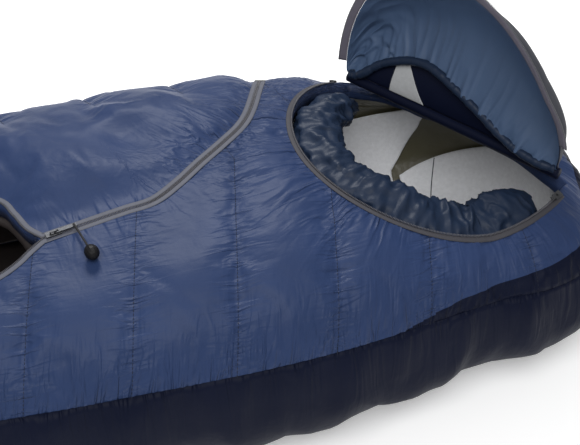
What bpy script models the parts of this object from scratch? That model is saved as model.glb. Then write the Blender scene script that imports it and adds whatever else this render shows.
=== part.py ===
"""Mummy sleeping bag lying on its back, zip partly open and hood flap turned up.

+X points to the head, -Y is the near side with the open zip, +Z is up. Metres.
"""

import math

import bmesh
import bpy
from mathutils import Matrix, Vector
from mathutils.bvhtree import BVHTree

for old in list(bpy.data.objects):
    bpy.data.objects.remove(old, do_unlink=True)

# Overall size
HEAD_X = 1.00
FOOT_X = -0.990
HEAD_AXIS_X = 0.80
FOOT_AXIS_X = -0.80
HALF_WIDTHS = (
    (FOOT_AXIS_X, 0.20),
    (-0.45, 0.24),
    (0.00, 0.29),
    (0.30, 0.305),
    (0.55, 0.295),
    (HEAD_AXIS_X, 0.245),
)
CREST_HEIGHTS = (
    (FOOT_AXIS_X, 0.26),
    (-0.45, 0.215),
    (-0.10, 0.255),
    (0.30, 0.285),
    (0.55, 0.284),
    (HEAD_AXIS_X, 0.256),
)
WIDEST_HEIGHT = 0.12
SIDE_ROUND = 0.10
FULLNESS = 2.6
# The ends are round in plan, and the hood's near corner is squarer
END_ROUND = 2.0
NEAR_HOOD_ROUND = 3.0

# Layers, as depths below the outer surface
GAP = 0.0003
SHELL = 0.0012
FILL = 0.022
LINING = 0.0010
FILL_TOP = SHELL + GAP
FILL_BOTTOM = FILL_TOP + FILL
LINING_TOP = FILL_BOTTOM + GAP
LINING_BOTTOM = LINING_TOP + LINING

# Rows up a rib: 0 at the base edge, 1 at the widest, 2 at the crest
SEAM_LEVEL = 1.20
LEVEL_GAP = 0.0014
BAND_START_X = 0.62
BAND_RISE = 0.26
BODY_STATIONS = 11
FAN_STATIONS = 5
TIP_GAP_ANGLE = math.radians(0.05)

# Face opening
OPENING_X = 0.78
OPENING_Y = 0.025
OPENING_R = 0.197
NEAR_END = math.radians(-40)
FAR_END = math.radians(-247)
HINGE_Z = 0.249
PIPING_R = 0.008
PIPING_CLEAR = 0.0006
FLAP_THICK = 0.018
FLAP_EDGE_THICK = 0.006
FLAP_BULGE = 0.050
FLAP_OPEN = math.radians(80)

# Zips
TAPE_IN = 0.0016
TAPE_OUT = 0.009
TAPE_THICK = 0.0010
COIL_IN = 0.0002
COIL_OUT = 0.0014
COIL_THICK = 0.0024
SLIT_HALF = 0.005
LIFT = 0.0008
ZIP_CLOSED = (
    (0.575, 0.220),
    (0.559, 0.171),
    (0.537, 0.112),
    (0.515, 0.073),
    (0.481, 0.037),
    (0.443, 0.002),
    (0.407, -0.032),
    (0.372, -0.0573),
    (0.332, -0.0655),
    (0.292, -0.0737),
    (0.252, -0.0819),
    (0.222, -0.088),
)
GAP_FAR = (
    (0.203, -0.066),
    (0.189, -0.034),
    (0.170, 0.000),
    (0.110, 0.028),
    (0.000, 0.028),
    (-0.150, -0.005),
    (-0.300, -0.058),
    (-0.380, -0.090),
)
GAP_NEAR = (
    (0.203, -0.103),
    (0.187, -0.117),
    (0.160, -0.132),
    (0.110, -0.148),
    (0.000, -0.160),
    (-0.150, -0.152),
    (-0.300, -0.122),
    (-0.380, -0.096),
)
SLIDER_AT = (0.238, -0.08472)
SLIDER_TO = (0.338, -0.06427)
SLIDER_LENGTH = 0.020
SLIDER_WIDTH = 0.0094
SLIDER_PLATE = 0.0012
SLIDER_CLEAR = 0.0005
HOOD_SLIDER_LIFT = 0.0014
HOOD_SLIDE_RISE = 0.0012
TAB_LENGTH = 0.030
TAB_WIDTH = 0.0056
CORD_R = 0.0014
BALL_AT = (0.281, -0.134)
BALL_R = 0.0095
BALL_LONG = 1.2
BALL_CLEAR = 0.0024

# Collar, draught tube and small pieces
COLLAR_R = 0.020
COLLAR_DROP = 0.0055
COLLAR_BORE = 0.0028
ELASTIC_R = 0.0020
TUBE_R = 0.012
TUBE_CLEAR = 0.0014
LOOP_REACH = 0.0146
LOOP_WIDTH = 0.018
LOOP_STRAP = 0.0024
LOOP_TALL = 0.012

bag = bpy.data.collections.new("mummy_sleeping_bag")
cutters = bpy.data.collections.new("cutters")
bpy.context.scene.collection.children.link(bag)
bpy.context.scene.collection.children.link(cutters)


def material(name, colour, roughness, metallic=0.0):
    made = bpy.data.materials.new(name)
    made.use_nodes = True
    shader = made.node_tree.nodes["Principled BSDF"]
    shader.inputs["Base Color"].default_value = (*colour, 1)
    shader.inputs["Roughness"].default_value = roughness
    shader.inputs["Metallic"].default_value = metallic
    return made


BLUE = (0.055, 0.080, 0.190)
NAVY = (0.013, 0.018, 0.040)
SLATE = (0.030, 0.037, 0.070)
WHITE = (0.75, 0.75, 0.74)
BROWN = (0.060, 0.048, 0.040)
OLIVE = (0.075, 0.066, 0.032)
GREY = (0.36, 0.37, 0.37)
TAPE_GREY = (0.23, 0.25, 0.30)
COIL_GREY = (0.11, 0.10, 0.11)
BLACK = (0.010, 0.010, 0.011)
STEEL = (0.60, 0.61, 0.62)


def add(name, mesh, colour, roughness=0.6, metallic=0.0):
    """A part, with its own material."""
    obj = bpy.data.objects.new(name, mesh)
    obj.data.materials.append(material(name, colour, roughness, metallic))
    bag.objects.link(obj)
    return obj


def finished(bm, name):
    """A mesh from bm, welded and facing out."""
    bmesh.ops.remove_doubles(bm, verts=bm.verts, dist=1e-6)
    bmesh.ops.recalc_face_normals(bm, faces=bm.faces)
    mesh = bpy.data.meshes.new(name)
    bm.to_mesh(mesh)
    bm.free()
    return mesh


def cutter(name, mesh):
    obj = bpy.data.objects.new(name, mesh)
    obj.hide_render = True
    obj.display_type = "WIRE"
    cutters.objects.link(obj)
    return obj


def cut(obj, tool, operation="DIFFERENCE"):
    boolean = obj.modifiers.new(tool.name, "BOOLEAN")
    boolean.operation = operation
    boolean.solver = "EXACT"
    boolean.object = tool


def along(stations, x):
    """A smooth value at x through the stations."""
    if x <= stations[0][0]:
        return stations[0][1]
    if x >= stations[-1][0]:
        return stations[-1][1]
    k = max(i for i in range(len(stations) - 1) if stations[i][0] <= x)
    (x0, v0), (x1, v1) = stations[k], stations[k + 1]
    before = stations[max(k - 1, 0)]
    after = stations[min(k + 2, len(stations) - 1)]
    slope0 = (v1 - before[1]) / (x1 - before[0])
    slope1 = (after[1] - v0) / (after[0] - x0)
    t = (x - x0) / (x1 - x0)
    span = x1 - x0
    return (
        (2 * t**3 - 3 * t**2 + 1) * v0
        + (t**3 - 2 * t**2 + t) * slope0 * span
        + (-2 * t**3 + 3 * t**2) * v1
        + (t**3 - t**2) * slope1 * span
    )


# Ribs: cross-sections from the base edge over the side to the crest line


def fan_rib(axis_x, reach, side, angle, foot):
    half = along(HALF_WIDTHS, axis_x)
    power = NEAR_HOOD_ROUND if side < 0 and not foot else END_ROUND
    width = ((math.sin(angle) / reach) ** power + (math.cos(angle) / half) ** power) ** (-1 / power)
    way = Vector(((-1 if foot else 1) * math.sin(angle), side * math.cos(angle)))
    return Vector((axis_x, 0)), way, width, along(CREST_HEIGHTS, axis_x)


def ribs_of(side, tip):
    """Ribs of one side, from the foot's tip to the head's tip."""
    step = math.pi / 2 / FAN_STATIONS
    ribs = []
    for i in range(FAN_STATIONS, 0, -1):
        angle = min(i * step, math.pi / 2 - tip)
        ribs.append(fan_rib(FOOT_AXIS_X, FOOT_AXIS_X - FOOT_X, side, angle, True))
    for i in range(BODY_STATIONS + 1):
        x = FOOT_AXIS_X + (HEAD_AXIS_X - FOOT_AXIS_X) * i / BODY_STATIONS
        ribs.append((Vector((x, 0)), Vector((0, side)), along(HALF_WIDTHS, x), along(CREST_HEIGHTS, x)))
    for i in range(1, FAN_STATIONS + 1):
        angle = min(i * step, math.pi / 2 - tip)
        ribs.append(fan_rib(HEAD_AXIS_X, HEAD_X - HEAD_AXIS_X, side, angle, False))
    return ribs


def rib_point(rib, level, depth):
    crest, way, width, height = rib
    if level <= 1:
        angle = level * math.pi / 2
        out = width - SIDE_ROUND + (SIDE_ROUND - depth) * math.sin(angle)
        z = depth + (WIDEST_HEIGHT - depth) * (1 - math.cos(angle))
    else:
        angle = (level - 1) * math.pi / 2
        out = (width - depth) * max(math.cos(angle), 0) ** (2 / FULLNESS)
        z = WIDEST_HEIGHT + (height - depth - WIDEST_HEIGHT) * math.sin(angle) ** (2 / FULLNESS)
    if level >= 2:
        out = 0
    spot = crest + way * out
    return Vector((spot.x, spot.y, z))


def slab(grids, name, closed=False):
    """A closed body between an outer and an inner grid of points."""
    bm = bmesh.new()
    outer, inner = [[[bm.verts.new(p) for p in column] for column in grid] for grid in grids]
    columns = len(outer)
    rows = len(outer[0])
    last = columns if closed else columns - 1
    for i in range(last):
        k = (i + 1) % columns
        for j in range(rows - 1):
            for grid in (outer, inner):
                bm.faces.new((grid[i][j], grid[k][j], grid[k][j + 1]))
                bm.faces.new((grid[i][j], grid[k][j + 1], grid[i][j + 1]))
        bm.faces.new((outer[i][0], inner[i][0], inner[k][0], outer[k][0]))
        if not closed:
            bm.faces.new((outer[i][-1], outer[k][-1], inner[k][-1], inner[i][-1]))
    if not closed:
        for j in range(rows - 1):
            bm.faces.new((outer[0][j], outer[0][j + 1], inner[0][j + 1], inner[0][j]))
            bm.faces.new((outer[-1][j], inner[-1][j], inner[-1][j + 1], outer[-1][j + 1]))
    return finished(bm, name)


def spread(low, high, count):
    return [low + (high - low) * i / count for i in range(count + 1)]


def band_level(rib):
    """Top edge of the dark band round the hood."""
    spot = rib_point(rib, 1, 0)
    if rib[0].x < BAND_START_X:
        return SEAM_LEVEL
    t = min((spot.x - BAND_START_X) / (HEAD_X - BAND_START_X), 1)
    return SEAM_LEVEL + 0.006 + BAND_RISE * t**0.8


SIDE_LEVELS = [0, 0.33, 0.67, 1, SEAM_LEVEL - LEVEL_GAP]
TOP_ROWS = 6


def side_panel(name, side, depths, colour, roughness):
    ribs = ribs_of(side, TIP_GAP_ANGLE)
    grids = [[[rib_point(r, v, d) for v in SIDE_LEVELS] for r in ribs] for d in depths]
    return add(name, slab(grids, name), colour, roughness)


def ring_of_ribs():
    """Every rib once round, from the foot's tip by the near side to the head and back."""
    near = ribs_of(-1, 0)
    far = ribs_of(1, 0)
    return near + far[-2:0:-1]


def band_levels(rib):
    return spread(SEAM_LEVEL, band_level(rib), 2)


def shell_levels(rib):
    return spread(band_level(rib), 2, TOP_ROWS)


def quilt_levels(rib):
    return band_levels(rib)[:-1] + shell_levels(rib)


def top_mesh(name, depths, levels):
    grids = [[[rib_point(r, v, d) for v in levels(r)] for r in ring_of_ribs()] for d in depths]
    return slab(grids, name, closed=True)


def plate(name, outline, low, high):
    """A flat plate with this outline."""
    bm = bmesh.new()
    face = bm.faces.new([bm.verts.new((p.x, p.y, low)) for p in outline])
    made = bmesh.ops.extrude_face_region(bm, geom=[face])["geom"]
    for vert in made:
        if isinstance(vert, bmesh.types.BMVert):
            vert.co.z = high
    return finished(bm, name)


def base_outline():
    return [rib[0] + rib[1] * (rib[2] - SIDE_ROUND - GAP) for rib in ring_of_ribs()]


SHELL_DEPTHS = (0, SHELL)
FILL_DEPTHS = (FILL_TOP, FILL_BOTTOM)
LINING_DEPTHS = (LINING_TOP, LINING_BOTTOM)

add("shell_base", plate("shell_base", base_outline(), *SHELL_DEPTHS), NAVY, 0.55)
add("fill_base", plate("fill_base", base_outline(), *FILL_DEPTHS), WHITE, 0.9)
add("lining_base", plate("lining_base", base_outline(), *LINING_DEPTHS), BROWN, 0.6)
for word, side in (("near", -1), ("far", 1)):
    side_panel("shell_side_" + word, side, SHELL_DEPTHS, NAVY, 0.5)
    side_panel("fill_side_" + word, side, FILL_DEPTHS, WHITE, 0.9)
    side_panel("lining_side_" + word, side, LINING_DEPTHS, BROWN, 0.6)

band_ribs = [r for r in ribs_of(-1, 0) if r[0].x >= BAND_START_X]
band_ribs += [r for r in ribs_of(1, 0) if r[0].x >= BAND_START_X][-2::-1]
band_grids = [
    [[rib_point(r, v - k * LEVEL_GAP / 2, d) for k, v in enumerate(band_levels(r))] for r in band_ribs]
    for d in SHELL_DEPTHS
]
add("shell_hood_band", slab(band_grids, "shell_hood_band"), NAVY, 0.5)

shell_top = add("shell_top", top_mesh("shell_top", SHELL_DEPTHS, shell_levels), BLUE, 0.35)
fill_top = add("fill_top", top_mesh("fill_top", FILL_DEPTHS, quilt_levels), WHITE, 0.9)
lining_top = add("lining_top", top_mesh("lining_top", LINING_DEPTHS, quilt_levels), BROWN, 0.6)

surface_bm = bmesh.new()
surface_bm.from_mesh(shell_top.data)
surface = BVHTree.FromBMesh(surface_bm)
surface_bm.free()


def drop(x, y):
    """Height and normal of the upper quilt's outer surface."""
    spot, normal, _, _ = surface.ray_cast(Vector((x, y, 1)), Vector((0, 0, -1)))
    return spot.z, normal


# Face opening: a round cut with a straight side, where the flap is hinged


def opening_point(angle, radius):
    return Vector((OPENING_X + radius * math.cos(angle), OPENING_Y + radius * math.sin(angle)))


hinge_near = opening_point(NEAR_END, OPENING_R)
hinge_far = opening_point(FAR_END, OPENING_R)
hinge_mid = (hinge_near + hinge_far) / 2
hinge_way = (hinge_near - hinge_far).normalized()
hinge_half = (hinge_near - hinge_far).length / 2
flap_way = Vector((hinge_way.y, -hinge_way.x))
if flap_way.dot(opening_point(math.radians(-140), 1) - hinge_mid) < 0:
    flap_way = -flap_way
SET_BACK = 0.0132


def arc(start, end, count):
    return [start + (end - start) * i / count for i in range(count + 1)]


ARC_STEPS = 34
cut_r = OPENING_R + SLIT_HALF
opening_outline = [opening_point(a, cut_r) for a in arc(NEAR_END, FAR_END, ARC_STEPS)]
opening_outline += [hinge_far - flap_way * SET_BACK, hinge_near - flap_way * SET_BACK]
opening_cutter = cutter("opening_cutter", plate("opening_cutter", opening_outline, 0.10, 0.60))


# Main zip: closed from the far shoulder to the slider, open from there to its end


def smooth_path(points, step):
    """Points at about this spacing on a smooth line through these."""
    line = [Vector(p) for p in points]
    made = []
    for i in range(len(line) - 1):
        p0, p1, p2, p3 = line[max(i - 1, 0)], line[i], line[i + 1], line[min(i + 2, len(line) - 1)]
        count = max(1, round((p2 - p1).length / step))
        for k in range(count):
            t = k / count
            made.append(
                0.5
                * (
                    2 * p1
                    + (p2 - p0) * t
                    + (2 * p0 - 5 * p1 + 4 * p2 - p3) * t**2
                    + (3 * p1 - p0 - 3 * p2 + p3) * t**3
                )
            )
    return made + [line[-1]]


def offset_path(path, distance):
    """The path moved sideways, to its left for a positive distance."""
    made = []
    for i, point in enumerate(path):
        way = (path[min(i + 1, len(path) - 1)] - path[max(i - 1, 0)]).normalized()
        made.append(point + Vector((-way.y, way.x)) * distance)
    return made


PATH_STEP = 0.020
closed_path = smooth_path(ZIP_CLOSED, PATH_STEP)
far_path = closed_path[:-1] + smooth_path((ZIP_CLOSED[-1],) + GAP_FAR, PATH_STEP)
near_path = closed_path[:-1] + smooth_path((ZIP_CLOSED[-1],) + GAP_NEAR, PATH_STEP)
# Walking from the shoulder to the foot, the far side lies on the right
slit_outline = offset_path(far_path, -SLIT_HALF)
slit_outline += list(reversed(offset_path(near_path, SLIT_HALF)))
slit_cutter = cutter("slit_cutter", plate("slit_cutter", slit_outline, 0.10, 0.60))

for layer in (shell_top, fill_top, lining_top):
    cut(layer, opening_cutter)
    cut(layer, slit_cutter)


def laid(points):
    """Heights at these points that keep the straight runs between them over the quilt."""
    heights = [drop(p.x, p.y)[0] for p in points]
    raised = list(heights)
    for i in range(len(points) - 1):
        for t in (0.2, 0.4, 0.6, 0.8):
            spot = points[i].lerp(points[i + 1], t)
            short = drop(spot.x, spot.y)[0] - heights[i] * (1 - t) - heights[i + 1] * t
            for k in (i, i + 1):
                raised[k] = max(raised[k], heights[k] + short)
    return raised


def strip(path, near, far, low, high, name):
    """A ribbon beside a path, laid over the quilt at these heights above it."""
    lines = []
    for distance in (near, far):
        side = offset_path(path, distance)
        lines.append([Vector((p.x, p.y, z)) for p, z in zip(side, laid(side))])
    grids = [[[p + Vector((0, 0, height)) for p in pair] for pair in zip(*lines)] for height in (high, low)]
    return slab(grids, name)


COIL_LOW = LIFT - 0.0006
COIL_HIGH = COIL_LOW + COIL_THICK
for word, path, turn in (("far", far_path, -1), ("near", near_path, 1)):
    name = "zip_tape_" + word
    add(name, strip(path, turn * TAPE_IN, turn * TAPE_OUT, LIFT, LIFT + TAPE_THICK, name), TAPE_GREY)
    name = "zip_coil_" + word
    add(name, strip(path, turn * COIL_IN, turn * COIL_OUT, COIL_LOW, COIL_HIGH, name), COIL_GREY, 0.4)


def box_mesh(name, size, matrix):
    bm = bmesh.new()
    bmesh.ops.create_cube(bm, size=1, matrix=matrix @ Matrix.Diagonal((*size, 1)))
    return finished(bm, name)


def frame_at(origin, x_way, z_way):
    """A placing matrix with these axes."""
    x_axis = x_way.normalized()
    y_axis = z_way.cross(x_axis).normalized()
    z_axis = x_axis.cross(y_axis)
    turned = Matrix((x_axis, y_axis, z_axis)).transposed().to_4x4()
    return Matrix.Translation(origin) @ turned


def stop_block(name, point, way, size):
    height, normal = drop(point.x, point.y)
    flat = Vector((way.x, way.y, 0))
    flat -= normal * flat.dot(normal)
    spot = Vector((point.x, point.y, height)) + normal * (size[2] / 2 + LIFT)
    return add(name, box_mesh(name, size, frame_at(spot, flat, normal)), BLACK, 0.4)


STOP_SIZE = (0.009, 0.016, 0.003)
start_way = (closed_path[0] - closed_path[1]).normalized()
stop_block("zip_top_stop", closed_path[0] + start_way * (STOP_SIZE[0] / 2 + GAP), start_way, STOP_SIZE)
END_STOP_SIZE = (0.008, 0.022, 0.004)
end_point = (far_path[-1] + near_path[-1]) / 2
end_way = (far_path[-1] - far_path[-2] + near_path[-1] - near_path[-2]).normalized()
stop_block("zip_end_stop", end_point + end_way * (END_STOP_SIZE[0] / 2 + 0.0036), end_way, END_STOP_SIZE)


def tube(name, points, radius, sides, caps=True):
    """A round tube along points, as a mesh."""
    bm = bmesh.new()
    rings = []
    for i, point in enumerate(points):
        way = (points[min(i + 1, len(points) - 1)] - points[max(i - 1, 0)]).normalized()
        aside = way.cross(Vector((0, 0, 1))).normalized()
        raised = aside.cross(way)
        ring = []
        for k in range(sides):
            turn = 2 * math.pi * k / sides
            ring.append(bm.verts.new(point + radius * (math.cos(turn) * aside + math.sin(turn) * raised)))
        rings.append(ring)
    for a, b in zip(rings, rings[1:]):
        for k in range(sides):
            m = (k + 1) % sides
            bm.faces.new((a[k], a[m], b[m], b[k]))
    if caps:
        bm.faces.new(rings[0])
        bm.faces.new(rings[-1])
    return finished(bm, name)


tube_points = []
for point in offset_path(far_path, -0.012)[1:-1:2]:
    height, normal = drop(point.x, point.y)
    sunk = (LINING_BOTTOM + TUBE_R + TUBE_CLEAR) / normal.z
    tube_points.append(Vector((point.x, point.y, height - sunk)))
add("draught_tube", tube("draught_tube", tube_points, TUBE_R, 8), SLATE, 0.6)


# Collar inside the opening, with its elastic

collar_angles = arc(NEAR_END - math.radians(9), FAR_END + math.radians(9), 26)
collar_r = cut_r - GAP - COLLAR_R - 0.0006


def collar_point(angle):
    rim = opening_point(angle, OPENING_R)
    spot = opening_point(angle, collar_r)
    return Vector((spot.x, spot.y, drop(rim.x, rim.y)[0] - COLLAR_DROP - COLLAR_R))


collar_line = [collar_point(a) for a in collar_angles]
collar = add("collar", tube("collar", collar_line, COLLAR_R, 10), SLATE, 0.55)
bore_line = list(collar_line)
bore_line[0] = bore_line[0] + (bore_line[0] - bore_line[1]).normalized() * 0.002
bore_line[-1] = bore_line[-1] + (bore_line[-1] - bore_line[-2]).normalized() * 0.002
collar_bore = cutter("collar_bore", tube("collar_bore", bore_line, COLLAR_BORE, 8))
cut(collar, collar_bore)
add("collar_elastic", tube("collar_elastic", collar_line, ELASTIC_R, 6), BLACK, 0.6)


# Zip round the opening

HINGE_CLEAR = math.radians(5.5)
rim_angles = arc(NEAR_END - HINGE_CLEAR, FAR_END + HINGE_CLEAR, ARC_STEPS)
rim_path = [opening_point(a, OPENING_R) for a in rim_angles]
# The rim runs clockwise, so outside lies on its left
name = "hood_zip_tape"
add(name, strip(rim_path, TAPE_IN, TAPE_OUT, LIFT, LIFT + TAPE_THICK, name), COIL_GREY)
name = "hood_zip_coil"
add(name, strip(rim_path, COIL_IN, COIL_OUT, COIL_LOW, COIL_HIGH, name), COIL_GREY, 0.4)
rim_end = (rim_path[-1] - rim_path[-2]).normalized()
HOOD_STOP_SIZE = (0.006, 0.010, 0.003)
hood_stop_at = offset_path(rim_path, 0.0060)[-1] + rim_end * (HOOD_STOP_SIZE[0] / 2 + GAP)
stop_block("hood_zip_stop", hood_stop_at, rim_end, HOOD_STOP_SIZE)


# Flap: shaped over the opening, then turned up about the hinge line

hinge_origin = Vector((hinge_mid.x, hinge_mid.y, HINGE_Z))
hinge_axis = Vector((hinge_way.x, hinge_way.y, 0))
turn_sign = 1 if hinge_axis.cross(Vector((flap_way.x, flap_way.y, 0))).z > 0 else -1
flap_turn = (
    Matrix.Translation(hinge_origin)
    @ Matrix.Rotation(turn_sign * FLAP_OPEN, 4, hinge_axis)
    @ Matrix.Translation(-hinge_origin)
)
FLAP_COLUMNS = 12
FLAP_ROWS = 7
FLAP_CUT_BACK = 0.0135
flap_root = PIPING_R + PIPING_CLEAR


def smooth_step(t):
    t = min(max(t, 0), 1)
    return t * t * (3 - 2 * t)


def flap_point(s, t, share):
    """A point of the closed flap: s along the hinge, t out from it, share through its thickness."""
    root = hinge_mid + hinge_way * (s * (hinge_half - 0.012)) + flap_way * flap_root
    angle = (NEAR_END + FAR_END) / 2 + (NEAR_END - FAR_END - 2 * math.radians(9)) / 2 * s
    rim = opening_point(angle, OPENING_R - FLAP_CUT_BACK)
    spot = root.lerp(rim, t)
    height = drop(spot.x, spot.y)[0]
    rise = smooth_step(t / 0.55)
    middle = HINGE_Z * (1 - rise) + (height + LIFT + FLAP_EDGE_THICK / 2) * rise
    middle += FLAP_BULGE * max(math.sin(math.pi * t**1.3), 0) ** 1.2 * max(1 - s * s, 0) ** 0.5
    edge = min(1, max(0, (1 - t) / 0.35))
    side_edge = min(1, max(0, (1 - abs(s)) / 0.2))
    thick = FLAP_EDGE_THICK + (FLAP_THICK - FLAP_EDGE_THICK) * smooth_step(min(edge, side_edge))
    return Vector((spot.x, spot.y, middle + thick * (share - 0.5)))


def flap_layer(name, low, high, colour, roughness):
    """A flap layer between two depths, each counted from the inner face or from the outer one."""
    grids = []
    for from_outer, depth in (high, low):
        grid = []
        for s in spread(-1, 1, FLAP_COLUMNS):
            column = []
            for t in spread(0, 1, FLAP_ROWS):
                inner = flap_point(s, t, 0)
                outer = flap_point(s, t, 1)
                z = outer.z - depth if from_outer else inner.z + depth
                column.append(flap_turn @ Vector((inner.x, inner.y, z)))
            grid.append(column)
        grids.append(grid)
    return add(name, slab(grids, name), colour, roughness)


flap_layer("flap_shell", (True, SHELL), (True, 0), NAVY, 0.5)
flap_layer("flap_fill", (False, SHELL + GAP), (True, SHELL + GAP), WHITE, 0.9)
flap_layer("flap_lining", (False, 0), (False, SHELL), SLATE, 0.6)

# The flap's zip starts beyond the slider's travel
flap_angles = arc(NEAR_END - math.radians(19), FAR_END + math.radians(9), ARC_STEPS)
flap_rim = [opening_point(a, OPENING_R) for a in flap_angles]


def turned(mesh):
    mesh.transform(flap_turn)
    return mesh


name = "flap_zip_tape"
mesh = strip(flap_rim, -TAPE_IN, -(FLAP_CUT_BACK - GAP), LIFT, LIFT + TAPE_THICK, name)
add(name, turned(mesh), TAPE_GREY)
name = "flap_zip_coil"
add(name, turned(strip(flap_rim, -COIL_IN, -COIL_OUT, COIL_LOW, COIL_HIGH, name)), COIL_GREY, 0.4)

PIPING_INSET = 0.010
piping_ends = [hinge_origin + hinge_axis * k * (hinge_half - PIPING_INSET) for k in (-1, 1)]
piping = add("hinge_piping", tube("hinge_piping", piping_ends, PIPING_R, 12), NAVY, 0.5)
WEB_THICK = 0.004
web_way = Vector((-flap_way.x, -flap_way.y, 0))
web_length = SET_BACK - GAP - PIPING_R + 0.002
web_at = hinge_origin + web_way * (SET_BACK - GAP - web_length / 2)
web_frame = frame_at(web_at, web_way, Vector((0, 0, 1)))
web_size = (web_length, 2 * (hinge_half - PIPING_INSET) - 0.002, WEB_THICK)
cut(piping, cutter("piping_web", box_mesh("piping_web", web_size, web_frame)), "UNION")


# Sliders and pulls


def slider(name, frame):
    """A slider body over the coils: top plate, two flanges and a bridge for the pull."""
    under = COIL_HIGH - LIFT + SLIDER_CLEAR
    body = add(
        name,
        box_mesh(
            name,
            (SLIDER_LENGTH, SLIDER_WIDTH, SLIDER_PLATE),
            frame @ Matrix.Translation((0, 0, under + SLIDER_PLATE / 2)),
        ),
        STEEL,
        0.3,
        1.0,
    )
    flange_low = TAPE_THICK + SLIDER_CLEAR
    flange = under + SLIDER_PLATE / 2 - flange_low
    pieces = []
    for side in (-1, 1):
        y = side * (SLIDER_WIDTH / 2 - 0.0008)
        pieces.append(((SLIDER_LENGTH - 0.001, 0.0012, flange), (0, y, flange_low + flange / 2)))
    plate_top = under + SLIDER_PLATE
    for x in (-BRIDGE_LENGTH / 2, BRIDGE_LENGTH / 2):
        pieces.append(((0.0014, BRIDGE_WIDTH, BRIDGE_RISE + 0.0004), (x, 0, plate_top + BRIDGE_RISE / 2 - 0.0002)))
    pieces.append(
        (
            (BRIDGE_LENGTH + 0.0018, BRIDGE_WIDTH + 0.0004, 0.0012),
            (0, 0, plate_top + BRIDGE_RISE + 0.0005),
        )
    )
    for i, (size, spot) in enumerate(pieces):
        piece_name = f"{name}_piece_{i}"
        mesh = box_mesh(piece_name, size, frame @ Matrix.Translation(spot))
        cut(body, cutter(piece_name, mesh), "UNION")
    return plate_top


BRIDGE_LENGTH = 0.0072
BRIDGE_WIDTH = 0.0022
BRIDGE_RISE = 0.0024
EYE_BAR = 0.0012


def pull_tab(name, frame, plate_top, length, hole):
    """A pull tab lying along +X of its frame, its eye's bar through the bridge."""
    height = plate_top + BRIDGE_RISE / 2
    eye_x = BRIDGE_LENGTH / 2 - 0.0007 - EYE_BAR / 2 - 0.0006
    eye_open = 0.0034
    start = eye_x - EYE_BAR / 2
    body = add(
        name,
        box_mesh(
            name,
            (length, TAB_WIDTH, EYE_BAR),
            frame @ Matrix.Translation((start + length / 2, 0, height)),
        ),
        STEEL,
        0.3,
        1.0,
    )
    eye_length = 0.0048
    eye = box_mesh(
        name + "_eye",
        (eye_length, eye_open, 0.01),
        frame @ Matrix.Translation((start + EYE_BAR + eye_length / 2, 0, height)),
    )
    cut(body, cutter(name + "_eye", eye))
    far_hole = box_mesh(
        name + "_hole",
        (hole, hole, 0.01),
        frame @ Matrix.Translation((start + length - 0.0016 - hole / 2, 0, height)),
    )
    cut(body, cutter(name + "_hole", far_hole))
    return frame @ Vector((eye_x, 0, height)), frame @ Vector((start + length - 0.0016 - hole / 2, 0, height))


def tape_spot(x, y):
    return Vector((x, y, drop(x, y)[0] + LIFT))


slider_from = tape_spot(*SLIDER_AT)
slider_way = tape_spot(*SLIDER_TO) - slider_from
slider_normal = drop(*SLIDER_AT)[1]
main_frame = frame_at(slider_from, slider_way, slider_normal)
main_top = slider("main_slider", main_frame)
TAB_HOLE = 0.0034
main_eye, main_hole = pull_tab("main_pull_tab", main_frame, main_top, TAB_LENGTH, TAB_HOLE)

ball_height, ball_normal = drop(*BALL_AT)
ball_at = Vector((*BALL_AT, ball_height)) + ball_normal * (BALL_R + BALL_CLEAR)
cord_way = ball_at - main_hole
cord_flat = Vector((cord_way.x, cord_way.y, 0)).normalized()
cord_start = main_hole + slider_normal * (EYE_BAR / 2 + CORD_R + GAP)
cord_line = [cord_start.lerp(ball_at, t) for t in (0, 0.25, 0.5)]
cord_line.append(ball_at - (ball_at - cord_start).normalized() * (BALL_R * BALL_LONG + GAP))
cord_mesh = tube("main_pull_cord", cord_line, CORD_R, 8)
add("main_pull_cord", cord_mesh, BLACK, 0.7)
bm = bmesh.new()
ball_frame = frame_at(ball_at, cord_line[-1] - ball_at, Vector((0, 0, 1)))
bmesh.ops.create_uvsphere(
    bm,
    u_segments=14,
    v_segments=9,
    radius=BALL_R,
    matrix=ball_frame @ Matrix.Diagonal((BALL_LONG, 1, 1, 1)) @ Matrix.Rotation(math.pi / 2, 4, "Y"),
)
add("main_pull_ball", finished(bm, "main_pull_ball"), BLACK, 0.35)

hood_from_angle = rim_angles[0] - math.radians(2.9)
hood_to_angle = hood_from_angle - math.radians(4)
hood_from = tape_spot(*opening_point(hood_from_angle, OPENING_R))
hood_way = tape_spot(*opening_point(hood_to_angle, OPENING_R)) - hood_from
hood_way.z += HOOD_SLIDE_RISE
hood_normal = drop(hood_from.x, hood_from.y)[1]
hood_frame = frame_at(hood_from + hood_normal * HOOD_SLIDER_LIFT, hood_way, hood_normal)
hood_top = slider("hood_slider", hood_frame)
HOOD_TAB_LENGTH = 0.020
hood_eye, _ = pull_tab("hood_pull_tab", hood_frame, hood_top, HOOD_TAB_LENGTH, 0.0022)


# Inside the hood and neck

inside_z = LINING_BOTTOM + GAP
PANEL_X = 0.74
PANEL_LONG = 0.14
PANEL_HALF = 0.115
PANEL_THICK = 0.005
panel_outline = [
    Vector((PANEL_X + PANEL_LONG * math.cos(a), PANEL_HALF * math.sin(a)))
    for a in arc(0, 2 * math.pi, 24)[:-1]
]
add("head_panel", plate("head_panel", panel_outline, inside_z, inside_z + PANEL_THICK), GREY, 0.9)
BAND_AT = 0.545
BAND_SIZE = (0.045, 0.34, 0.008)
band_frame = Matrix.Translation((BAND_AT, 0, inside_z + BAND_SIZE[2] / 2))
add("neck_band", box_mesh("neck_band", BAND_SIZE, band_frame), OLIVE, 0.5)


# Webbing loops, each a strap bent out from the shell


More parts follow.
